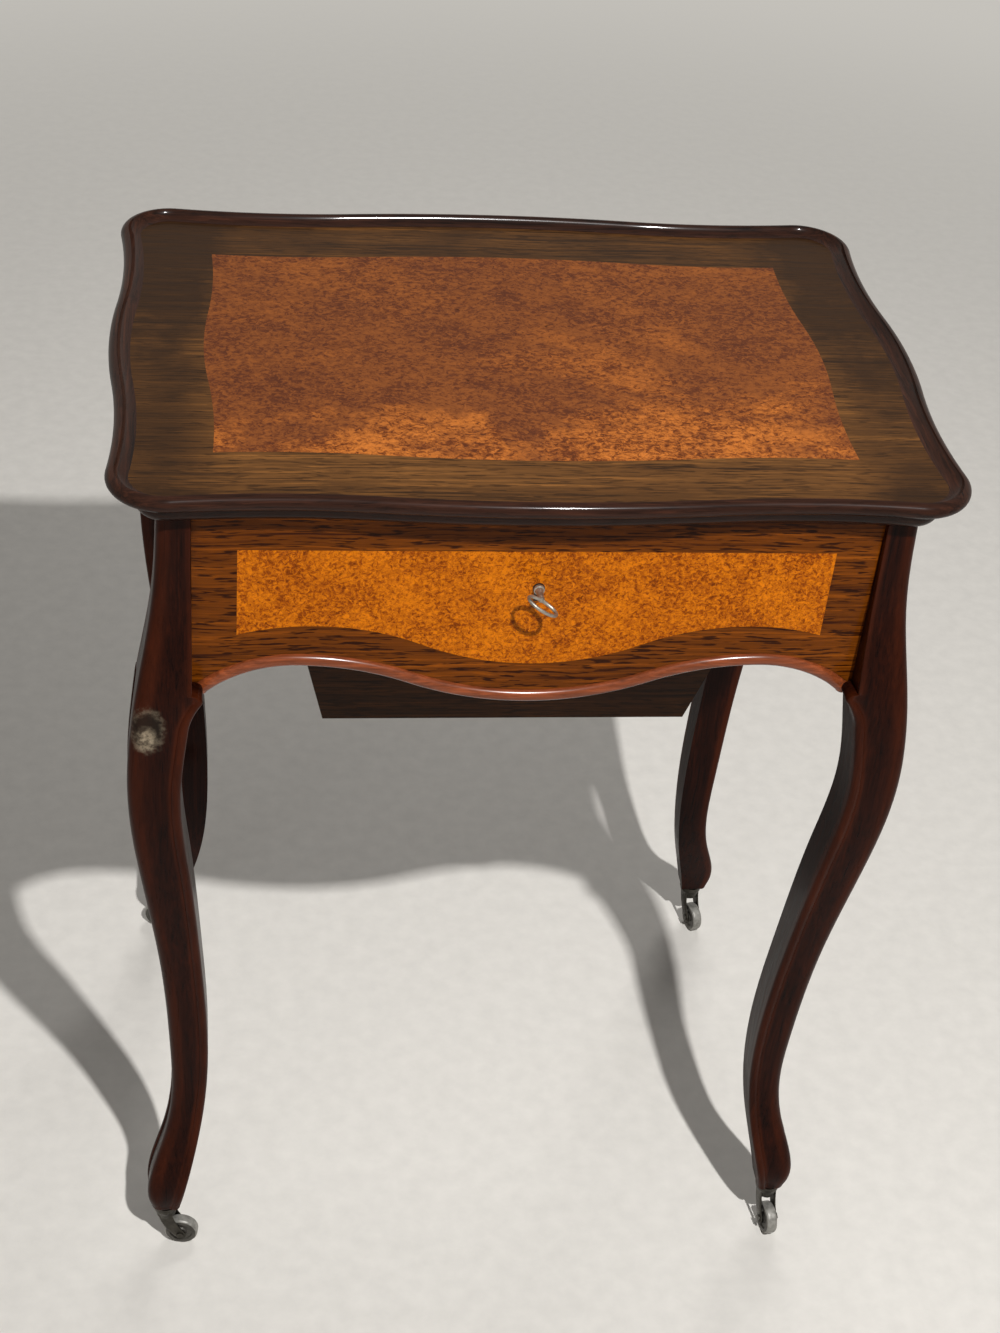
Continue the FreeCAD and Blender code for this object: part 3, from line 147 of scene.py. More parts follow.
class LidSizes(bpy.types.PropertyGroup):
    """The lid's serpentine outline and the section of its rim."""
    half_width: length("Half width", "Middle of the lid to the swell of its ends", high("rim_right").x)
    half_depth: length("Half depth", "Middle of the lid to the swell of its front", high("rim_back").y)
    crest: length("Crest height", "Floor to the crest of the rim", high("rim_front").z)
    foot: length("Foot height", "Floor to the underside of the lid", low("lid_core").z)
    panel: length("Panel height", "Floor to the veneered top", high("top_burr").z)
    corner_radius: length("Corner radius", "Round of the lid's corners", 36 * MM)
    front_hollow: length("Front hollow", "Depth of the hollows of the long sides", 7 * MM)
    front_hollow_share: share("Front hollow place", "A long side's hollows, from middle to corner", 0.684)
    front_rise: length("Front corner rise", "Rise from a hollow to the corner of a long side", 4 * MM)
    side_hollow: length("Side hollow", "Depth of the hollows of the short sides", 6.5 * MM)
    side_hollow_share: share("Side hollow place", "A short side's hollows, from middle to corner", 0.648)
    side_rise: length("Side corner rise", "Rise from a hollow to the corner of a short side", 3.5 * MM)
    nose: length("Nose radius", "Round nose of the rim", 5.5 * MM)
    lip: length("Lip width", "Nose to the start of the veneers", 14 * MM)
    foot_inset: length("Foot inset", "Nose to the foot of the cove", 16.5 * MM)
    rail: length("Rail width", "Nose to the back of the rim rail", 30 * MM)
    veneer: length("Veneer", "Thickness of the veneers", 1 * MM)


class LegSizes(bpy.types.PropertyGroup):
    """The section of the cabriole legs and the beads of the aprons."""
    corner_x: length("Case half width", "Middle of the case to a leg's inner face", high("carcass_bottom").x)
    corner_y: length("Case half depth", "Middle of the case to a leg's inner face", high("carcass_bottom").y)
    top: length("Leg top", "Floor to the top of a leg", high("leg_front_left").z)
    sole: length("Leg sole", "Floor to the sole of a leg", low("leg_front_left").z)
    bead: length("Leg bead", "Radius of the bead on a leg's inner edges", 3.6 * MM)
    edge: length("Leg edge", "Round of a leg's inner edges above the bead", 0.8 * MM)
    quirk: length("Quirk", "Width of the groove beside the bead", 1.6 * MM)
    cove: length("Cove", "Depth of the soft hollow beside the groove", 0.8 * MM)
    flare: length("Flare", "How far the front of a leg's inner edge runs in under an apron", 7 * MM)
    flare_low: length("Flare foot", "Floor to the start of the flare", 528 * MM)
    flare_tip: length("Flare tip", "Floor to the tip of the flare", 549 * MM)
    flare_top: length("Flare top", "Floor to the round top of the flare", 555.5 * MM)
    step: length("Flare step", "Inner face of a leg to the back of the flare", 19.3 * MM)
    face_drop: length("Face drop", "Depth of the leg's faces below the bead", 0.4 * MM)
    round: length("Leg corner", "Round of the leg's outer corner", 7 * MM)
    sole_round: length("Sole round", "Round of the sole's edge", 4 * MM)
    apron: length("Apron", "Thickness of the aprons", 16.8 * MM)
    apron_bead: length("Apron bead", "Radius of the bead under the aprons", 4.6 * MM)
    bead_proud: length("Bead proud", "How far the bead stands before the apron", 3.4 * MM)
    knob: length("Knob", "Radius of the knob at the end of a bead", 4.9 * MM)
    knob_gap: length("Knob gap", "Gap between a knob and the leg", 0.3 * MM)
    arch: length("Arch height", "Floor to the top of an apron's arches", 576 * MM)
    end_fall: length("End fall", "Fall of an apron's edge from the arch to the leg", 26 * MM)
    pendant_fall: length("Pendant fall", "Fall of an apron's edge from the arch to the middle", 29.5 * MM)
    front_arch_share: share("Front arch place", "Place of the front's arches between middle and leg", 0.7)
    side_arch_share: share("Side arch place", "Place of a side's arches between middle and leg", 0.694)
    glue: length("Glue line", "Gap between bead and apron", 0.1 * MM)


class KeySizes(bpy.types.PropertyGroup):
    """The key that stands in the lock."""
    height: length("Key height", "Floor to the middle of the key", (low("key").z + high("key").z) / 2)
    panel: length("Panel depth", "Middle of the table to the front panel", -low("apron_front").y)
    reach: length("Reach", "Panel to the middle of the bow", 19.5 * MM)
    bow_half_width: length("Bow half width", "Half the oval bow across the shaft", 11 * MM)
    bow_half_depth: length("Bow half depth", "Half the oval bow along the shaft", 6.3 * MM)
    wire: length("Bow wire", "Radius of the bow's wire", 1.15 * MM)
    turn: FloatProperty(name="Bow turn", description="Turn of the bow about the shaft",
                        default=math.radians(33), subtype="ANGLE")
    shaft: length("Shaft", "Radius of the shaft in the lock", 2.2 * MM)
    waist: length("Waist", "Radius of the neck at its thinnest", 2.05 * MM)
    flange: length("Flange", "Radius of the flange before the panel", 3.5 * MM)
    end: length("Inner end", "Middle of the table to the inner end of the key", -high("key").y)
    bit: length("Bit", "Axis of the key to the end of its bit", 8 * MM)
    bit_width: length("Bit width", "Width of the bit along the shaft", 4 * MM)
    bit_half: length("Bit half thickness", "Half the thickness of the bit", 1 * MM)


class CasterSizes(bpy.types.PropertyGroup):
    """The forks and wheels under the feet."""
    wheel: length("Wheel", "Radius of a wheel", high("caster_wheel_front_left").z / 2)
    half_width: length("Half width", "Half the width of a wheel", 4.5 * MM)
    shoulder: length("Shoulder", "Round of the tread's edges", 2.4 * MM)
    flange: length("Flange", "Depth of a wheel's rim below its tread", 4.2 * MM)
    dish: length("Dish", "Depth of the dished sides of a wheel", 1.2 * MM)
    hub: length("Hub", "Radius of a wheel's hub", 4.4 * MM)
    bore: length("Bore", "Radius of a wheel's bore", 2.15 * MM)
    stem: length("Stem", "Radius of a fork's stem", 3 * MM)
    stem_top: length("Stem top", "Floor to the top of a fork's stem", high("caster_fork_front_left").z)
    crown: length("Crown", "Radius of a fork's crown", 9.2 * MM)
    crown_top: length("Crown top", "Floor to the top of a fork's crown", low("caster_sockets").z - 0.4 * MM)
    crown_depth: length("Crown depth", "Depth of a fork's domed crown", 12.4 * MM)
    cheek: length("Cheek", "Thickness of a fork's cheeks", 2 * MM)
    cheek_gap: length("Cheek gap", "Gap between a cheek and the wheel", 0.6 * MM)
    cheek_half: length("Cheek half width", "Half the width of a cheek under the crown", 5.6 * MM)
    boss: length("Boss", "Round end of a cheek about the axle", 4.4 * MM)


class FinishColours(bpy.types.PropertyGroup):
    """The main colours of the woods and metals."""
    burr_light: colour("Burr light", "Pale figure of the burr top", (0.44, 0.132, 0.022))
    burr_dark: colour("Burr dark", "Dark mottle of the burr top", (0.15, 0.036, 0.008))
    burr_deep: colour("Burr shade", "Purple-brown clouds of the burr top", (0.075, 0.022, 0.011))
    front_light: colour("Front burr light", "Pale figure of the burr front", (0.52, 0.140, 0.003))
    front_dark: colour("Front burr dark", "Dark mottle of the burr front", (0.23, 0.044, 0.002))
    rose_light: colour("Rosewood light", "Pale streaks of the rosewood", (0.21, 0.070, 0.014))
    rose_dark: colour("Rosewood dark", "Dark streaks of the rosewood", (0.026, 0.0085, 0.003))
    band_light: colour("Banding light", "Pale streaks of the top's bandings", (0.25, 0.102, 0.025))
    band_dark: colour("Banding dark", "Dark streaks of the top's bandings", (0.024, 0.011, 0.005))
    rim_light: colour("Rim light", "Brown glow of the polished rim", (0.050, 0.016, 0.008))
    rim_dark: colour("Rim dark", "Dark grain of the polished rim", (0.009, 0.004, 0.003))
    apron_light: colour("Front light", "Pale streaks of the front apron", (0.24, 0.060, 0.003))
    apron_dark: colour("Front dark", "Dark streaks of the front apron", (0.030, 0.006, 0.001))
    polish_light: colour("Polish light", "Red glow of the polished legs", (0.026, 0.0048, 0.0016))
    polish_dark: colour("Polish dark", "Dark grain of the polished legs", (0.005, 0.0012, 0.0008))
    # Red-brown painted highlight on the legs' beads and outer corners
    glow: colour("Leg glow", "Painted red-brown highlight of the legs' beads and corners", (0.085, 0.016, 0.004))
    bead_red: colour("Bead", "Red-brown of the beads", (0.19, 0.044, 0.013))
    plain: colour("Inside wood", "Plain wood inside the case", (0.22, 0.12, 0.055))
    mirror: colour("Mirror", "Silvered glass of the mirror", (0.86, 0.88, 0.88))
    steel: colour("Steel", "Worn steel of the key", (0.37, 0.34, 0.29))
    iron: colour("Iron", "Dark iron of the lock", (0.055, 0.05, 0.045))
    brass: colour("Brass", "Aged brass of the hinges", (0.42, 0.29, 0.11))
    caster: colour("Caster metal", "Dull metal of the casters", (0.07, 0.064, 0.054))
    tread: colour("Tread", "Worn pale tread of the casters", (0.29, 0.28, 0.255))
    worn: colour("Worn patch", "Grey edge of the worn patch on the front left knee", (0.20, 0.16, 0.11))
    floor: colour("Floor", "Pale studio floor", (0.74, 0.71, 0.66))


# Geometry

def natural_spline(knots, values, at):
    """The cubic through every value whose bend is nought at both ends, read at any places."""
    gaps = np.diff(knots)
    slopes = np.diff(values) / gaps
    size = len(knots)
    system = np.eye(size)
    inner = np.arange(1, size - 1)
    system[inner, inner] = 2 * (gaps[:-1] + gaps[1:])
    system[inner, inner - 1] = gaps[:-1]
    system[inner, inner + 1] = gaps[1:]
    right = np.zeros(size)
    right[1:-1] = 6 * np.diff(slopes)
    bend = np.linalg.solve(system, right)
    cell = np.clip(np.searchsorted(knots, at) - 1, 0, size - 2)
    before, after = at - knots[cell], knots[cell + 1] - at
    gap = gaps[cell]
    cubic = (bend[cell] * after ** 3 + bend[cell + 1] * before ** 3) / (6 * gap)
    start = (values[cell] / gap - bend[cell] * gap / 6) * after
    end = (values[cell + 1] / gap - bend[cell + 1] * gap / 6) * before
    return cubic + start + end


def arc(centre, radius, start, end, count):
    """Points round a circle between two angles in degrees, as two columns."""
    angle = np.radians(np.linspace(start, end, count))
    return np.stack((centre[0] + radius * np.cos(angle), centre[1] + radius * np.sin(angle)), axis=1)


def full_turn(count):
    """Angles spread evenly round a circle."""
    return np.linspace(0, 2 * math.pi, count, endpoint=False)


def both_halves(row, sign=1):
    """A row from the middle of a side to its end, with its mirror image before it."""
    return np.concatenate((sign * row[:0:-1], row))


def arc_chain(*arcs):
    """Places along and out of circle arcs in a row, and the two parts of their outward normals.

    Each arc has the two places of its centre, its radius, 1 for a swell or -1 for a hollow, and its angles.
    """
    rows = [(x + radius * np.sin(angles), y + swell * radius * np.cos(angles), swell * np.sin(angles),
             np.cos(angles)) for x, y, radius, swell, angles in arcs]
    return tuple(np.concatenate(row) for row in zip(*rows))


def grid_faces(rows, columns, first, ring):
    """Quads of a grid whose last column joins its first, and in a ring its last row too."""
    row, column = np.meshgrid(np.arange(rows if ring else rows - 1), np.arange(columns), indexing="ij")
    next_row, next_column = (row + 1) % rows, (column + 1) % columns
    corners = (row * columns + column, row * columns + next_column, next_row * columns + next_column,
               next_row * columns + column)
    return (first + np.stack(corners, axis=-1)).reshape(-1, 4)


def tube_mesh(name, grids, rings):
    """One mesh from closed tubes and rings.

    Each grid has a loop of points in each row. The two end loops of a tube are filled.
    """
    points, faces, first = [], [], 0
    for grid, ring in [(grid, False) for grid in grids] + [(grid, True) for grid in rings]:
        rows, columns = grid.shape[:2]
        points.append(grid.reshape(-1, 3))
        faces.extend(grid_faces(rows, columns, first, ring).tolist())
        if not ring:
            faces.append((first + np.arange(columns)[::-1]).tolist())
            faces.append((first + (rows - 1) * columns + np.arange(columns)).tolist())
        first += rows * columns
    mesh = bpy.data.meshes.new(name)
    mesh.from_pydata(np.concatenate(points).tolist(), [], faces)
    work = bmesh.new()
    work.from_mesh(mesh)
    bmesh.ops.recalc_face_normals(work, faces=work.faces)
    work.to_mesh(mesh)
    work.free()
    mesh.shade_smooth()
    mesh.set_sharp_from_angle(angle=SHARP_ANGLE)
    return mesh


def add_piece(name, grids, body, slot, finish, *nodes, rings=()):
    """A new piece of closed tubes and rings that rides on a body, wears a finish and may stand for nodes."""
    piece = bpy.data.objects.new(name, tube_mesh(name, grids, rings))
    bpy.context.collection.objects.link(piece)
    piece.data.materials.append(finish.material)
    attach(piece, body)
    if nodes:
        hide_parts(*nodes)
    return piece


def wear(finish, *nodes):
    """Put a finish on CAD nodes."""
    for node in nodes:
        mesh = NODES[node].data
        mesh.materials.clear()
        mesh.materials.append(finish.material)


def mark(piece, name, values):
    """Give each point of a piece a number that its finish reads."""
    attribute = piece.data.attributes.new(name, "FLOAT", "POINT")
    attribute.data.foreach_set("value", values.astype(np.float32))


def facing(side, along, out, height):
    """Points beside a side of the table, counted along it and out from the middle, in the table's frame."""
    spots = {"front": (along, -out), "right": (out, along), "back": (-along, out), "left": (-out, -along)}
    return np.stack(np.broadcast_arrays(*spots[side], height), axis=-1)


def lid_side(sizes, side, count):
    """Half a serpentine side as places and outward normals, from its middle to the mitre at 45 degrees.

    A swell at the middle, a hollow beside it and the round corner are circle arcs that run into one another.
    """
    corner_x = sizes.half_width - sizes.side_hollow + sizes.side_rise - sizes.corner_radius
    corner_y = sizes.half_depth - sizes.front_hollow + sizes.front_rise - sizes.corner_radius
    if side in ("front", "back"):
        extent, hollow, rise = sizes.half_depth, sizes.front_hollow, sizes.front_rise
        end, out, hollow_share = corner_x, corner_y, sizes.front_hollow_share
    else:
        extent, hollow, rise = sizes.half_width, sizes.side_hollow, sizes.side_rise
        end, out, hollow_share = corner_y, corner_x, sizes.side_hollow_share
    hollow_at = end * hollow_share
    swell, turn = 2 * math.atan(hollow / hollow_at), 2 * math.atan(rise / (end - hollow_at))
    hollow_radius = (end - hollow_at) / math.sin(turn) - sizes.corner_radius
    swell_radius = hollow_at / math.sin(swell) - hollow_radius
    hollow_out = extent - hollow + hollow_radius
    return arc_chain(
        (0, extent - swell_radius, swell_radius, 1, np.linspace(0, swell, count)[:-1]),
        (hollow_at, hollow_out, hollow_radius, -1, np.linspace(-swell, turn, count)[:-1]),
        (end, out, sizes.corner_radius, 1, np.linspace(-turn, math.pi / 4, count)))


def lid_rail(sizes, side, profile, count=40):
    """A moulding along one side: the profile's inset and height carried along the side's normals."""
    along, out, normal_along, normal_out = lid_side(sizes, side, count)
    along, normal_along = both_halves(along, -1)[:, None], both_halves(normal_along, -1)[:, None]
    out, normal_out = both_halves(out)[:, None], both_halves(normal_out)[:, None]
    inset, height = profile.T
    return facing(side, along - normal_along * inset, out - normal_out * inset, height)


def rim_profile(sizes):
    """The rim's section as inset and height: foot, flat for the veneers, hollow, round nose and cove."""
    ground = sizes.panel - sizes.veneer
    rise, reach = sizes.crest - sizes.panel, sizes.lip - sizes.nose
    hollow = (reach ** 2 + rise ** 2) / (2 * rise)
    sweep = math.degrees(math.acos(1 - rise / hollow))
    nose_low = sizes.crest - 2 * sizes.nose
    flats = np.array([(sizes.foot_inset, sizes.foot), (sizes.rail, sizes.foot), (sizes.rail, ground),
                      (sizes.lip, ground)])
    inner = arc((sizes.lip, sizes.panel + hollow), hollow, 270, 270 - sweep, 12)
    nose = arc((sizes.nose, sizes.crest - sizes.nose), sizes.nose, 90, 270, 22)[1:]
    turn = np.radians(np.linspace(0, 90, 12))[1:-1]
    cove = np.stack((sizes.nose + (sizes.foot_inset - sizes.nose) * np.sin(turn),
                     sizes.foot + (nose_low - sizes.foot) * np.cos(turn)), axis=1)
    return np.concatenate((flats, inner, nose, cove))


def leg_grid(sizes, sign_x, sign_y):
    """A cabriole leg: its beaded section carried up splines of its inner and outer faces.

    Under the end of each apron the bead runs inward as a square of the height, to a quarter round top.
    """
    stations = np.array(LEG_STATIONS) * MM
    stations[-1, 0] = sizes.top
    heights = np.concatenate((np.linspace(sizes.sole + sizes.sole_round, sizes.flare_low, 120)[:-1],
                              np.linspace(sizes.flare_low, sizes.flare_top, 40)[:-1],
                              np.linspace(sizes.flare_top, sizes.top, 40)))
    inner = natural_spline(stations[:, 0], stations[:, 1], heights)
    outer = natural_spline(stations[:, 0], stations[:, 2], heights)
    seat = low("apron_front").z
    inner = np.where(heights > seat, np.maximum(inner, 0), inner)
    climb = np.clip((heights - sizes.flare_low) / (sizes.flare_tip - sizes.flare_low), 0, 1) ** 2
    fall = np.clip((heights - sizes.flare_tip) / (sizes.flare_top - sizes.flare_tip), 0, 1)
    flare = (sizes.flare * climb * np.sqrt(1 - fall * fall))[:, None]
    inner, outer, plain = inner[:, None], outer[:, None], fall[:, None]
    edge = inner - flare
    bead = sizes.bead + (sizes.edge - sizes.bead) * plain
    last = BEAD_END + (EDGE_END - BEAD_END) * plain
    angle = np.radians(180 + (last - 180) * np.linspace(0, 1, BEAD_POINTS))
    face, corner = outer - sizes.face_drop, sizes.round
    back = np.linspace(0, 1, BACK_POINTS)
    start = outer - bead
    step = np.clip(inner + sizes.step, 0.7 * inner + 0.3 * start, 0.3 * inner + 0.7 * start)
    groove = edge + bead + bead * np.cos(angle[:, -1:]) + sizes.quirk
    face_share = np.linspace(0, 1, FACE_POINTS + 1)[:-1] ** FACE_CROWDING
    face_across = groove + (face - corner - groove) * face_share
    beside = (face_across - groove) / COVE_REACH
    cove = sizes.cove * (1 - plain) * np.exp(-beside * beside) * (1 - face_share)
    round_angle = np.radians(np.linspace(90, 45, CORNER_POINTS))
    across = np.concatenate((inner + 0 * back, edge + 0 * back[:-1], edge + bead + bead * np.cos(angle),
                             face_across, face - corner + corner * np.cos(round_angle)), axis=1)
    outward = np.concatenate((inner + (step - inner) * back, step + (start - step) * back[:-1],
                              start + bead * np.sin(angle), face - cove,
                              face - corner + corner * np.sin(round_angle)), axis=1)
    ring_across = np.concatenate((across, outward[:, -2:0:-1]), axis=1)
    ring_outward = np.concatenate((outward, across[:, -2:0:-1]), axis=1)
    grid = np.stack((sign_x * (sizes.corner_x + ring_across), sign_y * (sizes.corner_y + ring_outward),
                     np.broadcast_to(heights[:, None], ring_across.shape)), axis=-1)
    turn = np.radians(np.linspace(90, 0, 8))[:-1]
    middle = grid[0].mean(axis=0)
    reach = np.abs(grid[0, :, :2] - middle[:2]).max()
    shrink = 1 - sizes.sole_round * (1 - np.cos(turn)) / reach
    sole = middle + (grid[0][None] - middle) * shrink[:, None, None]
    sole[..., 2] = (sizes.sole + sizes.sole_round * (1 - np.sin(turn)))[:, None]
    return np.concatenate((sole, grid))


def leg_highlight(rows):
    """How much painted red highlight each of a leg's points gets: full on the beads, less on the outer
    corner.

    On the faces it falls with the fourth power of the place, to none in the middle.
    """
    rise = np.linspace(0, 1, 3)
    face = CORNER_HIGHLIGHT * np.linspace(-1, 1, FACE_POINTS) ** 4
    half = np.concatenate((np.zeros(2 * BACK_POINTS - 1 - len(rise)), rise, np.ones(BEAD_POINTS), face,
                           np.full(CORNER_POINTS, CORNER_HIGHLIGHT)))
    return np.tile(np.concatenate((half, half[-2:0:-1])), rows)


def bead_grid(sizes, side):
    """The bead under an apron: a circle carried along its S-curves, swelling into a ball at each end."""
    long_side = side in ("front", "back")
    half, out = (sizes.corner_x, sizes.corner_y) if long_side else (sizes.corner_y, sizes.corner_x)
    arch_at = half * (sizes.front_arch_share if long_side else sizes.side_arch_share)
    arch, pendant, fall = sizes.arch, sizes.arch - sizes.pendant_fall, sizes.end_fall
    out += sizes.apron + sizes.bead_proud - sizes.apron_bead
    inset = sizes.apron_bead + sizes.glue
    swell = 2 * math.atan(sizes.pendant_fall / arch_at)
    edge = arch_at / math.sin(swell) / 2
    end = ((half - arch_at) ** 2 + fall ** 2) / (2 * fall)
    knob_x = half - sizes.knob - sizes.knob_gap
    end_angle = math.asin((knob_x - arch_at) / (end - inset)) + sizes.knob / (end - inset)
    x, z, normal_x, normal_z = arc_chain(
        (0, pendant + edge, edge + inset, -1, np.linspace(0, swell, 40)[:-1]),
        (arch_at, arch - edge, edge - inset, 1, np.linspace(-swell, 0, 40)[:-1]),
        (arch_at, arch - end, end - inset, 1, end_angle * (1 - np.linspace(1, 0, 60) ** END_CROWDING)))
    steps = np.hypot(np.diff(x), np.diff(z))
    to_end = np.concatenate((np.cumsum(steps[::-1])[::-1], [0]))
    ball = np.sqrt(np.maximum(sizes.knob ** 2 - (to_end - sizes.knob) ** 2, (0.1 * sizes.glue) ** 2))
    joined = sizes.knob + math.sqrt(sizes.knob ** 2 - sizes.apron_bead ** 2)
    radius = np.where(to_end > joined, sizes.apron_bead, ball)
    ease = np.clip(1 - (to_end - sizes.knob) / (3 * sizes.knob), 0, 1)
    shift = (sizes.knob - sizes.apron_bead) * ease * ease * (3 - 2 * ease)
    x, z = x - normal_x * shift, z - normal_z * shift
    x, normal_x = both_halves(x, -1)[:, None], both_halves(normal_x, -1)[:, None]
    z, normal_z, radius = (both_halves(row)[:, None] for row in (z, normal_z, radius))
    turn = full_turn(24)
    lift = radius * np.cos(turn)
    return facing(side, x + normal_x * lift, out + radius * np.sin(turn), z + normal_z * lift)


def key_neck(sizes):
    """The key's neck and shaft: a turned profile of radius over depth, from the bow to the inner end."""
    panel, wire, waist, flange = sizes.panel, sizes.wire, sizes.waist, sizes.flange
    bow = panel + sizes.reach - sizes.bow_half_depth
    profile = np.array(((bow + 0.6 * wire, 0.3 * waist), (bow + 0.2 * wire, 0.85 * waist),
                        (bow - wire, 1.12 * waist), (bow - 3 * wire, waist), (panel + 5 * MM, 1.1 * waist),
                        (panel + 3 * MM, 0.8 * flange), (panel + 2.6 * MM, flange),
                        (panel + 0.8 * MM, flange), (panel + 0.5 * MM, 0.9 * flange),
                        (panel + 0.4 * MM, sizes.shaft), (sizes.end, sizes.shaft)))
    depth, radius = profile.T[..., None]
    turn = full_turn(32)
    spots = radius * np.cos(turn), -depth, sizes.height + radius * np.sin(turn)
    return np.stack(np.broadcast_arrays(*spots), axis=-1)


def turned_key(sizes, across, depth, lift):
    """Points of the key's bow or bit, turned about the shaft by the bow's angle."""
    cos_turn, sin_turn = math.cos(sizes.turn), math.sin(sizes.turn)
    spots = across * cos_turn + lift * sin_turn, depth, sizes.height - across * sin_turn + lift * cos_turn
    return np.stack(np.broadcast_arrays(*spots), axis=-1)


def key_bow(sizes):
    """The key's bow: a circle carried round an oval that is turned about the shaft."""
    round_bow, round_wire = full_turn(72)[:, None], full_turn(16)
    normal_across = sizes.bow_half_depth * np.cos(round_bow)
    normal_along = sizes.bow_half_width * np.sin(round_bow)
    size = np.hypot(normal_across, normal_along)
    swell = sizes.wire * np.cos(round_wire)
    across = sizes.bow_half_width * np.cos(round_bow) + swell * normal_across / size
    along = sizes.bow_half_depth * np.sin(round_bow) + swell * normal_along / size
    return turned_key(sizes, across, along - sizes.panel - sizes.reach, sizes.wire * np.sin(round_wire))


def key_bit(sizes):
    """The key's bit: a flat blade in the plane of the bow."""
    across, lift = np.array((0, 0, 1, 1)) * sizes.bit, np.array((-1, 1, 1, -1)) * sizes.bit_half
    depth = -sizes.end - sizes.bit_width * np.array((1.1, 0.1))[:, None]
    return turned_key(sizes, across, depth, lift)


def beside_caster(corner, ahead, across, height):
    """Points beside a caster, counted ahead along its trail, across along its axle and up from the floor."""
    pivot = np.array(JOINTS[f"swivel_{corner}"]["pos_m"])
    way = np.array(JOINTS[f"roll_{corner}"]["pos_m"]) - pivot
    way_x, way_y = way[:2] / np.hypot(*way[:2])
    spots = pivot[0] + way_x * ahead - way_y * across, pivot[1] + way_y * ahead + way_x * across
    return np.stack(np.broadcast_arrays(*spots, height), axis=-1)


def caster_trail(corner):
    """How far a caster's axle lies behind its stem."""
    return math.dist(JOINTS[f"swivel_{corner}"]["pos_m"][:2], JOINTS[f"roll_{corner}"]["pos_m"][:2])


def fork_crown(sizes, corner):
    """A fork's stem and domed crown: a turned profile of radius over height."""
    crown, depth = sizes.crown, sizes.crown_depth
    radius = np.array((0.3 * sizes.stem, sizes.stem, sizes.stem, 0.92 * crown, crown, crown, 0.93 * crown,
                       0.86 * crown, 0.8 * crown, 0.62 * crown, 0.05 * crown))
    below = np.array((0, 0, 0, 0, 0.07, 0.24, 0.34, 0.5, 0.84, 0.96, 1)) * depth
    height = sizes.crown_top - below
    height[:2] = sizes.stem_top, sizes.stem_top - 0.2 * sizes.stem
    radius, turn = radius[:, None], full_turn(36)
    return beside_caster(corner, radius * np.cos(turn), radius * np.sin(turn), height[:, None])


def fuller(wave):
    """A sine or cosine drawn out to its ends, for a flat section with round corners."""
    return np.sign(wave) * np.abs(wave) ** 0.6


def fork_cheek(sizes, corner, sign):
    """A fork's cheek: a flat rounded section carried down a bowed path to a round end about the axle."""
    trail, boss = caster_trail(corner), sizes.boss
    start = np.array((0, sizes.crown_top - 0.3 * sizes.crown_depth))
    axle = np.array((trail, sizes.wheel))
    bow = np.array((0.12 * trail, 0.55 * axle[1] + 0.45 * start[1]))
    share_down = np.linspace(0, 1, 26)[:, None]
    path = (1 - share_down) ** 2 * start + 2 * share_down * (1 - share_down) * bow + share_down ** 2 * axle
    way = (axle - bow) / np.linalg.norm(axle - bow)
    past = np.sin(np.linspace(0, math.pi / 2, 12))[1:, None]
    path = np.concatenate((path, axle + past * boss * way))
    tangent = np.gradient(path, axis=0)
    tangent /= np.linalg.norm(tangent, axis=1)[:, None]
    half = np.concatenate((sizes.cheek_half + (boss - sizes.cheek_half) * share_down[:, 0],
                           boss * np.sqrt(np.maximum(1 - past[:, 0] ** 2, TIP_SHARE ** 2))))
    turn = full_turn(20)
    wide = half[:, None] * fuller(np.cos(turn))
    thick = 0.5 * sizes.cheek * fuller(np.sin(turn))
    across = sign * (sizes.half_width + sizes.cheek_gap + 0.5 * sizes.cheek) + thick
    return beside_caster(corner, path[:, :1] - tangent[:, 1:] * wide, across,
                         path[:, 1:] + tangent[:, :1] * wide)


def wheel_profile(sizes):
    """A wheel's section as places across it and radii: round-edged tread, dished side, hub and bore."""
    wide, tread, dish = sizes.half_width, sizes.wheel, sizes.dish
    rim = tread - sizes.flange
    shoulder = arc((wide - sizes.shoulder, tread - sizes.shoulder), sizes.shoulder, 90, 0, 9)
    side = np.array(((wide, rim), (wide - dish, rim - 0.5 * dish), (wide - dish, sizes.hub + 0.5 * dish),
                     (wide, sizes.hub), (wide, sizes.bore)))
    half = np.concatenate(([(0, tread)], shoulder, side))
    return np.concatenate((half, (half * (-1, 1))[:0:-1]))


def wheel_ring(sizes, corner):
    """A wheel: its section carried round the axle."""
    across, radius = wheel_profile(sizes).T
    turn = full_turn(56)[:, None]
    return beside_caster(corner, caster_trail(corner) + radius * np.cos(turn), across,
                         sizes.wheel + radius * np.sin(turn))


# Finishes

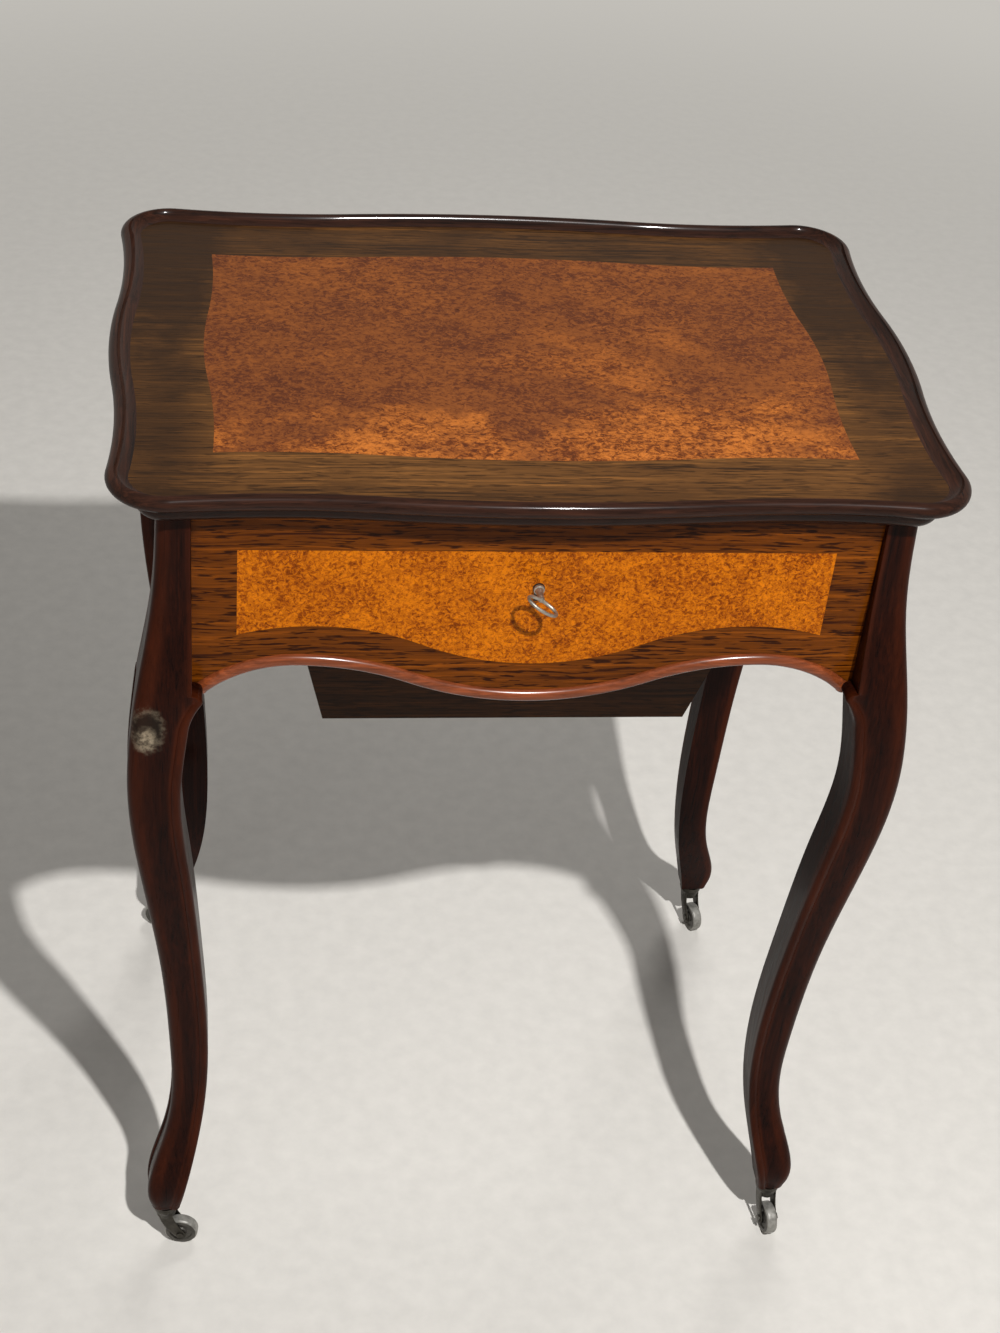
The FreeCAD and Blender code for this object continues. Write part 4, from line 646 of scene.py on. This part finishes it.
class Finish:
    """A material whose nodes are written from the place on the object towards the surface."""

    def __init__(self, name, **surface):
        self.material = bpy.data.materials.new(name)
        self.material.use_nodes = True
        self.tree = self.material.node_tree
        self.shader = self.tree.nodes["Principled BSDF"]
        self.place = self.add("TexCoord").outputs["Object"]
        self.set(**surface)

    def set(self, **surface):
        """Feed the surface's own sockets, such as Base_Color, with numbers or other nodes."""
        self.feed(self.shader, {name.replace("_", " "): content for name, content in surface.items()})

    def feed(self, node, inputs):
        """Give a node's inputs numbers or links from other nodes."""
        for name, content in inputs.items():
            socket = node.inputs[name]
            if isinstance(content, bpy.types.NodeSocket):
                self.tree.links.new(content, socket)
            else:
                socket.default_value = content

    def add(self, kind, inputs=None, **settings):
        """A node of some kind with its settings and inputs."""
        node = self.tree.nodes.new(f"ShaderNode{kind}")
        for name, content in settings.items():
            setattr(node, name, content)
        self.feed(node, inputs or {})
        return node

    def stretched(self, scale, vector=None):
        """A place with each axis scaled."""
        return self.add("Mapping", {"Vector": vector or self.place, "Scale": scale}).outputs["Vector"]

    def drawn(self, place, axis, along, across):
        """A place scaled so that noise is drawn out along one axis."""
        return self.stretched(tuple(along if name == axis else across for name in "xyz"), place)

    def swayed(self, place, scale, reach):
        """A place pushed about by soft noise, by up to a reach."""
        sway = self.add("TexNoise", {"Vector": place, "Scale": scale, "Detail": 2.0}).outputs["Color"]
        drift = self.add("VectorMath", {0: sway, "Scale": reach}, operation="SCALE").outputs["Vector"]
        return self.add("VectorMath", {0: place, 1: drift}, operation="ADD").outputs["Vector"]

    def noise(self, vector, scale=1.0, detail=4.0, rough=0.55, distortion=0.0):
        """Soft noise from nought to one."""
        node = self.add("TexNoise", {"Vector": vector, "Scale": scale, "Detail": detail, "Roughness": rough,
                                     "Distortion": distortion})
        return node.outputs["Fac"]

    def math(self, operation, first, second=0.5):
        """One sum on two numbers."""
        return self.add("Math", {0: first, 1: second}, operation=operation).outputs["Value"]

    def times(self, first, second):
        """Two numbers multiplied."""
        return self.math("MULTIPLY", first, second)

    def plus(self, first, *others):
        """Some numbers added up in turn."""
        for other in others:
            first = self.math("ADD", first, other)
        return first

    def away(self, number, middle):
        """How far a number lies from a middle: small along thin lines where it crosses that."""
        return self.math("ABSOLUTE", self.math("SUBTRACT", number, middle))

    def span(self, value, start, end, low_end=0.0, high_end=1.0):
        """A number moved smoothly from one span to another."""
        node = self.add("MapRange", {"Value": value, "From Min": start, "From Max": end, "To Min": low_end,
                                     "To Max": high_end}, interpolation_type="SMOOTHSTEP")
        return node.outputs["Result"]

    def ramp(self, factor, *stops):
        """Colours along a number, each stop a place and a colour."""
        node = self.add("ValToRGB", {"Fac": factor})
        elements = node.color_ramp.elements
        while len(elements) < len(stops):
            elements.new(0.5)
        for element, (place, tone) in zip(elements, stops):
            element.position = place
            element.color = (*tone, 1)
        return node.outputs["Color"]

    def mix(self, factor, first, second):
        """Two colours blended."""
        node = self.add("Mix", data_type="RGBA")
        tones = (tone if isinstance(tone, bpy.types.NodeSocket) else (*tone, 1) for tone in (first, second))
        self.feed(node, dict(zip(MIX_INPUTS, (factor, *tones))))
        return node.outputs[MIX_RESULT]

    def relief(self, height, strength, depth):
        """Small bumps from a number."""
        node = self.add("Bump", {"Height": height, "Strength": strength, "Distance": depth})
        self.set(Normal=node.outputs["Normal"])

    def axis(self, vector, name):
        """One coordinate of a place."""
        return self.add("SeparateXYZ", {"Vector": vector}).outputs[name]


def shade(tone, factor):
    """A colour made lighter or darker."""
    return tuple(min(1.0, part * factor) for part in tone)


def burr_finish(name, light, dark, deep, stretch, fade, curl, mottle):
    """Burr veneer: curled pale threads and dark specks over soft clouds, with a few dark eyes.

    The stretch draws the figure out along the width. The fade darkens it by clouds and towards the back. The
    curl counts the threads in a metre, and the mottle is the depth of the dark patches.
    """
    finish = Finish(name, Coat_Weight=0.1, Coat_Roughness=0.12, Specular_IOR_Level=0.02)
    leaf = finish.stretched((1 / stretch, 1, 1))
    curled = finish.swayed(leaf, 0.55 * curl, 2.2 / curl)
    fibres = finish.noise(curled, curl, detail=3.0, rough=0.6, distortion=0.6)
    threads = finish.away(finish.noise(curled, 0.8 * curl, detail=2.0, rough=0.5), 0.5)
    squiggles = finish.away(finish.noise(curled, 0.55 * curl, detail=2.0, rough=0.5, distortion=0.8), 0.46)
    specks = finish.noise(curled, 3 * curl, detail=3.0, rough=0.6, distortion=0.5)
    clouds = finish.noise(leaf, 30.0, detail=6.0, rough=0.62, distortion=0.6)
    figure = finish.plus(finish.times(fibres, 0.54), finish.times(specks, 0.16), finish.times(clouds, 0.30))
    middle = tuple(0.5 * pale + 0.5 * dim for pale, dim in zip(light, dark))
    tone = finish.ramp(figure, (0.40, shade(dark, 0.6)), (0.45, dark), (0.49, middle), (0.535, light),
                       (0.60, shade(light, 1.25)))
    tone = finish.mix(finish.span(threads, 0.0, 0.035, 0.55, 0.0), tone, shade(light, 1.15))
    tone = finish.mix(finish.span(squiggles, 0.005, 0.026, 0.5, 0.0), tone, shade(dark, 0.85))
    broad = finish.noise(leaf, 9.0, detail=6.0, rough=0.62, distortion=0.4)
    uneven = finish.times(finish.math("SUBTRACT", broad, 0.5), 0.45)
    depth = finish.plus(finish.axis(finish.place, "Y"), uneven)
    depth = finish.span(depth, *FADE_SPAN, 0.0, fade)
    veil = finish.plus(finish.span(broad, 0.42, 0.62, 0.0, fade), depth)
    tone = finish.mix(finish.math("MINIMUM", veil, 0.9), tone, finish.mix(0.74, tone, deep))
    patch = finish.span(finish.noise(curled, 75.0, rough=0.65, distortion=0.6), 0.55, 0.67, 0.0, mottle)
    tone = finish.mix(patch, tone, finish.mix(0.5, deep, shade(dark, 0.8)))
    for scale, without, size, strength in BURR_EYES:
        cells = finish.add("TexVoronoi", {"Vector": curled, "Scale": scale, "Randomness": 1.0})
        chosen = finish.math("GREATER_THAN", finish.axis(cells.outputs["Color"], "X"), without)
        spot = finish.span(cells.outputs["Distance"], 0.4 * size, size, strength, 0.0)
        tone = finish.mix(finish.times(spot, chosen), tone, shade(dark, 0.3))
    finish.set(Base_Color=tone, Roughness=finish.span(clouds, 0.3, 0.7, 0.32, 0.44))
    finish.relief(fibres, strength=0.03, depth=0.0003)
    return finish


def grained_finish(name, light, dark, axis, gloss=0.34, coat=0.09, pores=0.6):
    """Straight-grained wood: broad streaks, fine pale lines and dark pores drawn out along one axis."""
    finish = Finish(name, Coat_Weight=coat, Coat_Roughness=0.1, Specular_IOR_Level=0.03)
    place = finish.swayed(finish.place, 9.0, 0.008)
    streaks = finish.noise(finish.drawn(place, axis, 2.5, 110.0))
    lines = finish.noise(finish.drawn(place, axis, 6.0, 420.0), detail=5.0, rough=0.72)
    fine = finish.noise(finish.drawn(place, axis, 55.0, 640.0), detail=2.0, rough=0.5)
    figure = finish.plus(finish.times(streaks, 0.3), finish.times(lines, 0.7))
    middle = tuple(0.45 * pale + 0.55 * dim for pale, dim in zip(light, dark))
    tone = finish.ramp(figure, (0.38, dark), (0.46, shade(middle, 0.8)), (0.53, middle), (0.64, light))
    finish.tone = finish.mix(finish.span(fine, 0.54, 0.62, 0.0, pores), tone, shade(dark, 0.5))
    finish.set(Base_Color=finish.tone, Roughness=finish.span(lines, 0.3, 0.7, gloss - 0.05, gloss + 0.1))
    finish.relief(fine, strength=0.06, depth=0.0002)
    return finish


def polished(name, tones, axis):
    """Dark red-brown polished wood with a grain along one axis."""
    return grained_finish(name, tones.rim_light, tones.rim_dark, axis, gloss=0.3, coat=0.24, pores=0.4)


def darkened_banding(name, light, dark, lid):
    """Rosewood of the top's bandings, darker towards the ends, the back and the rim, in noisy patches."""
    finish = grained_finish(name, light, dark, "x")
    across = finish.math("ABSOLUTE", finish.axis(finish.place, "X"))
    along = finish.axis(finish.place, "Y")
    blotches = finish.noise(finish.place, 16.0, detail=5.0, rough=0.6)
    ends = finish.span(across, 0.68 * lid.half_width, 0.86 * lid.half_width, 0.0, 0.7)
    back = finish.span(along, -0.45 * lid.half_depth, 0.7 * lid.half_depth, 0.0, 0.62)
    rim = finish.span(along, -0.93 * lid.half_depth, -0.78 * lid.half_depth, 0.45, 0.0)
    # How much darker the banding grows towards the ends, the back and the rim, broken up by noise
    worn = finish.times(finish.plus(ends, back, rim), finish.span(blotches, 0.3, 0.65, 0.6, 1.1))
    tone = finish.mix(finish.math("MINIMUM", worn, 0.88), finish.tone, shade(dark, 0.9))
    finish.set(Base_Color=tone)
    return finish


def metal_finish(name, tone, gloss, wear_scale=90.0):
    """Old metal: a mottled tone, patchy gloss and fine pits."""
    finish = Finish(name, Metallic=1.0)
    cloud = finish.noise(finish.place, wear_scale, detail=6.0, rough=0.65)
    spots = finish.noise(finish.place, wear_scale * 5, rough=0.6)
    finish.tone = finish.ramp(cloud, (0.32, shade(tone, 0.5)), (0.55, tone), (0.75, shade(tone, 1.35)))
    finish.set(Base_Color=finish.tone, Roughness=finish.span(spots, 0.3, 0.7, gloss - 0.08, gloss + 0.14))
    finish.relief(spots, strength=0.18, depth=0.0004)
    return finish


def worn_patch(finish, tone, grey):
    """A tone with a dark oval in it, a ragged grey edge round that and a mottled bare spot low in it."""
    def oval(place, size):
        """The distance from a place in radii, made ragged by noise."""
        offset = finish.add("VectorMath", {0: finish.place, 1: place}, operation="SUBTRACT").outputs["Vector"]
        spot = finish.add("VectorMath", {0: finish.stretched((1, 1, 0.7), offset)}, operation="LENGTH")
        ragged = finish.times(finish.noise(finish.place, 240.0, detail=5.0), 0.5 * size)
        return finish.math("DIVIDE", finish.plus(spot.outputs["Value"], ragged), size)
    patch, bare = oval(*WORN_PATCH), oval(*BARE_SPOT)
    mottle = finish.noise(finish.place, 300.0, detail=5.0, rough=0.6)
    tone = finish.mix(finish.span(patch, 0.8, 1.05, 0.75, 0.0), tone, shade(grey, 0.06))
    edge = finish.times(finish.span(patch, 0.75, 0.95), finish.span(patch, 0.95, 1.2, 1.0, 0.0))
    edge = finish.times(edge, finish.span(mottle, 0.35, 0.65, 0.04, 0.36))
    tone = finish.mix(edge, tone, grey)
    bare = finish.times(finish.span(bare, 0.5, 1.2, 0.8, 0.0), finish.span(mottle, 0.36, 0.62, 0.2, 0.9))
    return finish.mix(bare, tone, shade(grey, 1.9))


# Operators

class DT_OT_rims(bpy.types.Operator):
    """Moulded rim rails round the lid: the rim's section carried along each serpentine side."""
    bl_idname = "dressing_table.rims"
    bl_label = "Lid rims"

    def execute(self, context):
        sizes, tones = context.scene.dressing_lid, context.scene.dressing_finish
        profile = rim_profile(sizes)
        for axis, sides in GRAIN:
            finish = polished(f"Polished rim {axis}", tones, axis)
            for side in sides:
                add_piece(f"rim_{side}_moulding", [lid_rail(sizes, side, profile)], "lid",
                          "dark_polished_wood", finish, f"rim_{side}")
            wear(finish, *(f"cornice_{side}" for side in sides))
        return {"FINISHED"}


class DT_OT_legs(bpy.types.Operator):
    """Cabriole legs with a bead on their inner edges and a painted red highlight on the beads and outer
    corners, the front left one with a worn patch on its knee.
    """
    bl_idname = "dressing_table.legs"
    bl_label = "Legs"

    def execute(self, context):
        sizes, tones = context.scene.dressing_leg, context.scene.dressing_finish
        finish = grained_finish("Polished leg", tones.polish_light, tones.polish_dark, "z", gloss=0.3,
                                pores=0.4)
        # Painted red highlight on the beads and outer corners, read from the glow numbers and broken up by
        # noise
        glow = finish.add("Attribute", attribute_name="glow").outputs["Fac"]
        cloud = finish.noise(finish.stretched((40.0, 40.0, 9.0)), rough=0.6)
        glow = finish.times(glow, finish.span(cloud, 0.3, 0.65, 0.35, 1.0))
        tone = finish.mix(glow, finish.tone, finish.mix(0.4, finish.tone, tones.glow))
        finish.set(Base_Color=worn_patch(finish, tone, tones.worn))
        for corner, (sign_x, sign_y) in CORNERS.items():
            grid = leg_grid(sizes, sign_x, sign_y)
            leg = add_piece(f"leg_{corner}_carved", [grid], "frame", "dark_polished_wood", finish,
                            f"leg_{corner}")
            mark(leg, "glow", leg_highlight(len(grid)))
        return {"FINISHED"}


class DT_OT_beads(bpy.types.Operator):
    """Round beads under the aprons, each ending in a ball beside the legs."""
    bl_idname = "dressing_table.beads"
    bl_label = "Apron beads"

    def execute(self, context):
        sizes, tones = context.scene.dressing_leg, context.scene.dressing_finish
        light, dark = shade(tones.bead_red, 1.5), shade(tones.bead_red, 0.6)
        for axis, sides in GRAIN:
            finish = grained_finish(f"Bead {axis}", light, dark, axis, gloss=0.24, coat=0.6, pores=0.3)
            finish.set(Coat_Roughness=0.2)
            for side in sides:
                add_piece(f"bead_{side}_round", [bead_grid(sizes, side)], "frame", "red_bead_wood", finish,
                          f"bead_{side}")
        return {"FINISHED"}


class DT_OT_veneers(bpy.types.Operator):
    """Burr panels and rosewood veneers of the top, the front and the other sides."""
    bl_idname = "dressing_table.veneers"
    bl_label = "Veneers"

    def execute(self, context):
        lid, tones = context.scene.dressing_lid, context.scene.dressing_finish
        top = burr_finish("Burr top", tones.burr_light, tones.burr_dark, tones.burr_deep, stretch=1.35,
                          fade=0.78, curl=340.0, mottle=0.35)
        front = burr_finish("Burr front", tones.front_light, tones.front_dark, tones.front_dark, stretch=1.1,
                            fade=0.12, curl=420.0, mottle=0.3)
        banding = darkened_banding("Rosewood banding", tones.band_light, tones.band_dark, lid)
        warm = grained_finish("Rosewood front", tones.apron_light, tones.apron_dark, "x", gloss=0.36,
                              coat=0.1, pores=0.9)
        wear(top, "top_burr")
        wear(front, "front_inlay")
        wear(banding, *(f"banding_{side}" for side in SIDES))
        wear(warm, "apron_front")
        light, dark = tones.rose_light, tones.rose_dark
        wear(grained_finish("Rosewood back", light, dark, "x"), "apron_back")
        wear(grained_finish("Rosewood sides", light, dark, "y"), "apron_left", "apron_right")
        for axis, walls in (("x", ("front", "back", "bottom")), ("y", ("left", "right"))):
            # Painted shade: the well's rosewood is darkened to about a third of the rosewood's tones, as it
            # stands in the shadow of the aprons.
            finish = grained_finish(f"Rosewood well in painted shade {axis}", shade(light, 0.3), shade(dark, 0.4), axis)
            wear(finish, *(f"well_{wall}" for wall in walls))
        return {"FINISHED"}


class DT_OT_inside(bpy.types.Operator):
    """Plain wood of the case, the tray and the lid's ground, and the mirror with its frame."""
    bl_idname = "dressing_table.inside"
    bl_label = "Inside and mirror"

    def execute(self, context):
        tones = context.scene.dressing_finish
        wood = grained_finish("Plain wood", shade(tones.plain, 1.3), shade(tones.plain, 0.6), "x", gloss=0.42,
                              coat=0.1, pores=0.3)
        wear(wood, "carcass_bottom", "lid_core", "tray_box", "tray_dividers", "tray_rests")
        wear(polished("Mirror frame", tones, "x"), "mirror_frame")
        glass = Finish("Mirror", Metallic=1.0, Base_Color=(*tones.mirror, 1))
        foxing = glass.span(glass.noise(glass.place, 30.0, detail=6.0, rough=0.7), 0.60, 0.75)
        glass.set(Roughness=glass.plus(glass.times(foxing, 0.25), 0.02))
        wear(glass, "mirror_glass")
        return {"FINISHED"}


class DT_OT_metalwork(bpy.types.Operator):
    """Key, lock and hinges."""
    bl_idname = "dressing_table.metalwork"
    bl_label = "Metalwork"

    def execute(self, context):
        sizes, tones = context.scene.dressing_key, context.scene.dressing_finish
        steel = metal_finish("Key steel", tones.steel, gloss=0.34, wear_scale=160.0)
        steel.set(Metallic=0.75)
        add_piece("key_turned", [key_neck(sizes), key_bit(sizes)], "key", "key_steel", steel, "key",
                  rings=[key_bow(sizes)])
        iron = metal_finish("Lock iron", tones.iron, gloss=0.45)
        wear(iron, "lock_case", "lock_bolt", "lid_staple", "keyhole_liner")
        brass = metal_finish("Hinge brass", tones.brass, gloss=0.32)
        wear(brass, "hinge_frame_leaves", "hinge_lid_leaves", "hinge_pins")
        return {"FINISHED"}


class DT_OT_casters(bpy.types.Operator):
    """Swivelling forks with round cheeks, and wheels with a worn pale tread."""
    bl_idname = "dressing_table.casters"
    bl_label = "Casters"

    def execute(self, context):
        sizes, tones = context.scene.dressing_caster, context.scene.dressing_finish
        dull = metal_finish("Caster metal", tones.caster, gloss=0.42, wear_scale=120.0)
        rolled = metal_finish("Caster wheel", tones.caster, gloss=0.45, wear_scale=120.0)
        tread = rolled.add("Attribute", attribute_name="tread").outputs["Fac"]
        rubbed = rolled.span(rolled.noise(rolled.place, 260.0), 0.3, 0.6, 0.55, 1.0)
        tone = rolled.mix(rolled.times(tread, rubbed), rolled.tone, tones.tread)
        rolled.set(Metallic=0.4, Base_Color=tone)
        on_tread = wheel_profile(sizes)[:, 1] > sizes.wheel - 0.6 * sizes.shoulder
        for corner in CORNERS:
            fork = [fork_crown(sizes, corner), fork_cheek(sizes, corner, -1), fork_cheek(sizes, corner, 1)]
            add_piece(f"caster_fork_{corner}_cast", fork, f"caster_{corner}", "caster_metal", dull,
                      f"caster_fork_{corner}")
            ring = wheel_ring(sizes, corner)
            wheel = add_piece(f"caster_wheel_{corner}_turned", [], f"wheel_{corner}", "caster_metal", rolled,
                              f"caster_wheel_{corner}", rings=[ring])
            mark(wheel, "tread", np.tile(on_tread, len(ring)))
            wear(dull, f"caster_axle_{corner}")
        wear(dull, "caster_sockets")
        return {"FINISHED"}


def seen_rays(tree):
    """One for rays that end in the eye, straight or by way of a mirror or glass, and nought for the rest."""
    path = tree.nodes.new("ShaderNodeLightPath")
    seen = path.outputs["Is Camera Ray"]
    for name in ("Is Glossy Ray", "Is Transmission Ray"):
        either = tree.nodes.new("ShaderNodeMath")
        either.operation = "MAXIMUM"
        tree.links.new(seen, either.inputs[0])
        tree.links.new(path.outputs[name], either.inputs[1])
        seen = either.outputs[0]
    return seen


def lay_floor(context):
    """A pale flecked floor that runs into the backdrop far out."""
    mesh = bpy.data.meshes.new("floor")
    reach = FLOOR_REACH
    mesh.from_pydata([(-reach, -reach, 0), (reach, -reach, 0), (reach, reach, 0), (-reach, reach, 0)], [],
                     [(0, 1, 2, 3)])
    floor = bpy.data.objects.new("floor", mesh)
    context.collection.objects.link(floor)
    tone = context.scene.dressing_finish.floor
    ground = Finish("Floor", Roughness=0.9, Specular_IOR_Level=0.1)
    fleck = ground.noise(ground.place, 60.0, detail=5.0)
    ground.set(Base_Color=ground.ramp(fleck, (0.3, shade(tone, 0.95)), (0.7, shade(tone, 1.03))))
    far = ground.add("VectorMath", {0: ground.place}, operation="LENGTH").outputs["Value"]
    far = ground.times(ground.span(far, *BACKDROP_FADE), seen_rays(ground.tree))
    glow = ground.add("Emission", {"Color": (*BACKDROP, 1)}).outputs["Emission"]
    both = ground.add("MixShader", {0: far, 1: ground.shader.outputs["BSDF"], 2: glow})
    ground.feed(ground.tree.nodes["Material Output"], {"Surface": both.outputs["Shader"]})
    mesh.materials.append(ground.material)


def hang_lamps(context):
    """Square lamps that point at the table. Only the key lamp shows in reflections."""
    for name, place, size, power in LIGHTS:
        lamp = bpy.data.lights.new(name, "AREA")
        lamp.size, lamp.energy = size, power
        light = bpy.data.objects.new(name, lamp)
        context.collection.objects.link(light)
        light.location = place
        light.rotation_euler = (AIM - Vector(place)).to_track_quat("-Z", "Y").to_euler()
        light.visible_glossy = name == "key"


def paint_surround(context):
    """A dim warm surround for the light, and the plain backdrop for the eye."""
    world = bpy.data.worlds.new("Surround")
    context.scene.world = world
    world.use_nodes = True
    tree = world.node_tree
    sky, backdrop = tree.nodes["Background"], tree.nodes.new("ShaderNodeBackground")
    sky.inputs["Color"].default_value = (*SURROUND, 1)
    sky.inputs["Strength"].default_value = SURROUND_STRENGTH
    backdrop.inputs["Color"].default_value = (*BACKDROP, 1)
    both = tree.nodes.new("ShaderNodeMixShader")
    for place, source in enumerate((seen_rays(tree), sky.outputs[0], backdrop.outputs[0])):
        tree.links.new(source, both.inputs[place])
    tree.links.new(both.outputs[0], tree.nodes["World Output"].inputs["Surface"])


def stand_camera(context):
    """The camera, at the place and with the lens fitted to the photograph."""
    scene = context.scene
    camera = bpy.data.objects.new("camera", bpy.data.cameras.new("camera"))
    context.collection.objects.link(camera)
    camera.matrix_world = Matrix.Translation(CAMERA_AT) @ Matrix(CAMERA_AXES).transposed().to_4x4()
    camera.data.lens, camera.data.sensor_width = LENS, FILM_WIDTH
    camera.data.clip_start = NEAREST
    scene.camera = camera
    scene.render.resolution_x, scene.render.resolution_y = PICTURE


class DT_OT_stage(bpy.types.Operator):
    """Pale floor, soft studio lights, a plain surround and the camera."""
    bl_idname = "dressing_table.stage"
    bl_label = "Stage"

    def execute(self, context):
        lay_floor(context)
        hang_lamps(context)
        paint_surround(context)
        stand_camera(context)
        context.scene.view_settings.view_transform = "Standard"
        return {"FINISHED"}


class DT_PT_panel(bpy.types.Panel):
    """The dressing table's pieces in the sidebar."""
    bl_idname = "DT_PT_panel"
    bl_label = "Dressing table"
    bl_space_type = "VIEW_3D"
    bl_region_type = "UI"
    bl_category = "Dressing Table"

    def draw(self, context):
        for name in GROUPS:
            group, column = getattr(context.scene, name), self.layout.column()
            for size in group.__annotations__:
                column.prop(group, size)
        for operator in OPERATORS:
            self.layout.operator(operator.bl_idname)


OPERATORS = (DT_OT_rims, DT_OT_legs, DT_OT_beads, DT_OT_veneers, DT_OT_inside, DT_OT_metalwork, DT_OT_casters,
             DT_OT_stage)
GROUPS = {"dressing_lid": LidSizes, "dressing_leg": LegSizes, "dressing_key": KeySizes,
          "dressing_caster": CasterSizes, "dressing_finish": FinishColours}
CLASSES = (*GROUPS.values(), *OPERATORS, DT_PT_panel)


def register():
    """Add the groups, the operators and the panel to Blender."""
    for item in CLASSES:
        bpy.utils.register_class(item)
    for name, group in GROUPS.items():
        setattr(bpy.types.Scene, name, PointerProperty(type=group))


def unregister():
    """Take the groups, the operators and the panel out again."""
    for name in GROUPS:
        delattr(bpy.types.Scene, name)
    for item in reversed(CLASSES):
        bpy.utils.unregister_class(item)


def main():
    """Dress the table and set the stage."""
    register()
    bpy.ops.dressing_table.rims()
    bpy.ops.dressing_table.legs()
    bpy.ops.dressing_table.beads()
    bpy.ops.dressing_table.veneers()
    bpy.ops.dressing_table.inside()
    bpy.ops.dressing_table.metalwork()
    bpy.ops.dressing_table.casters()
    bpy.ops.dressing_table.stage()


if __name__ == "__main__":
    main()
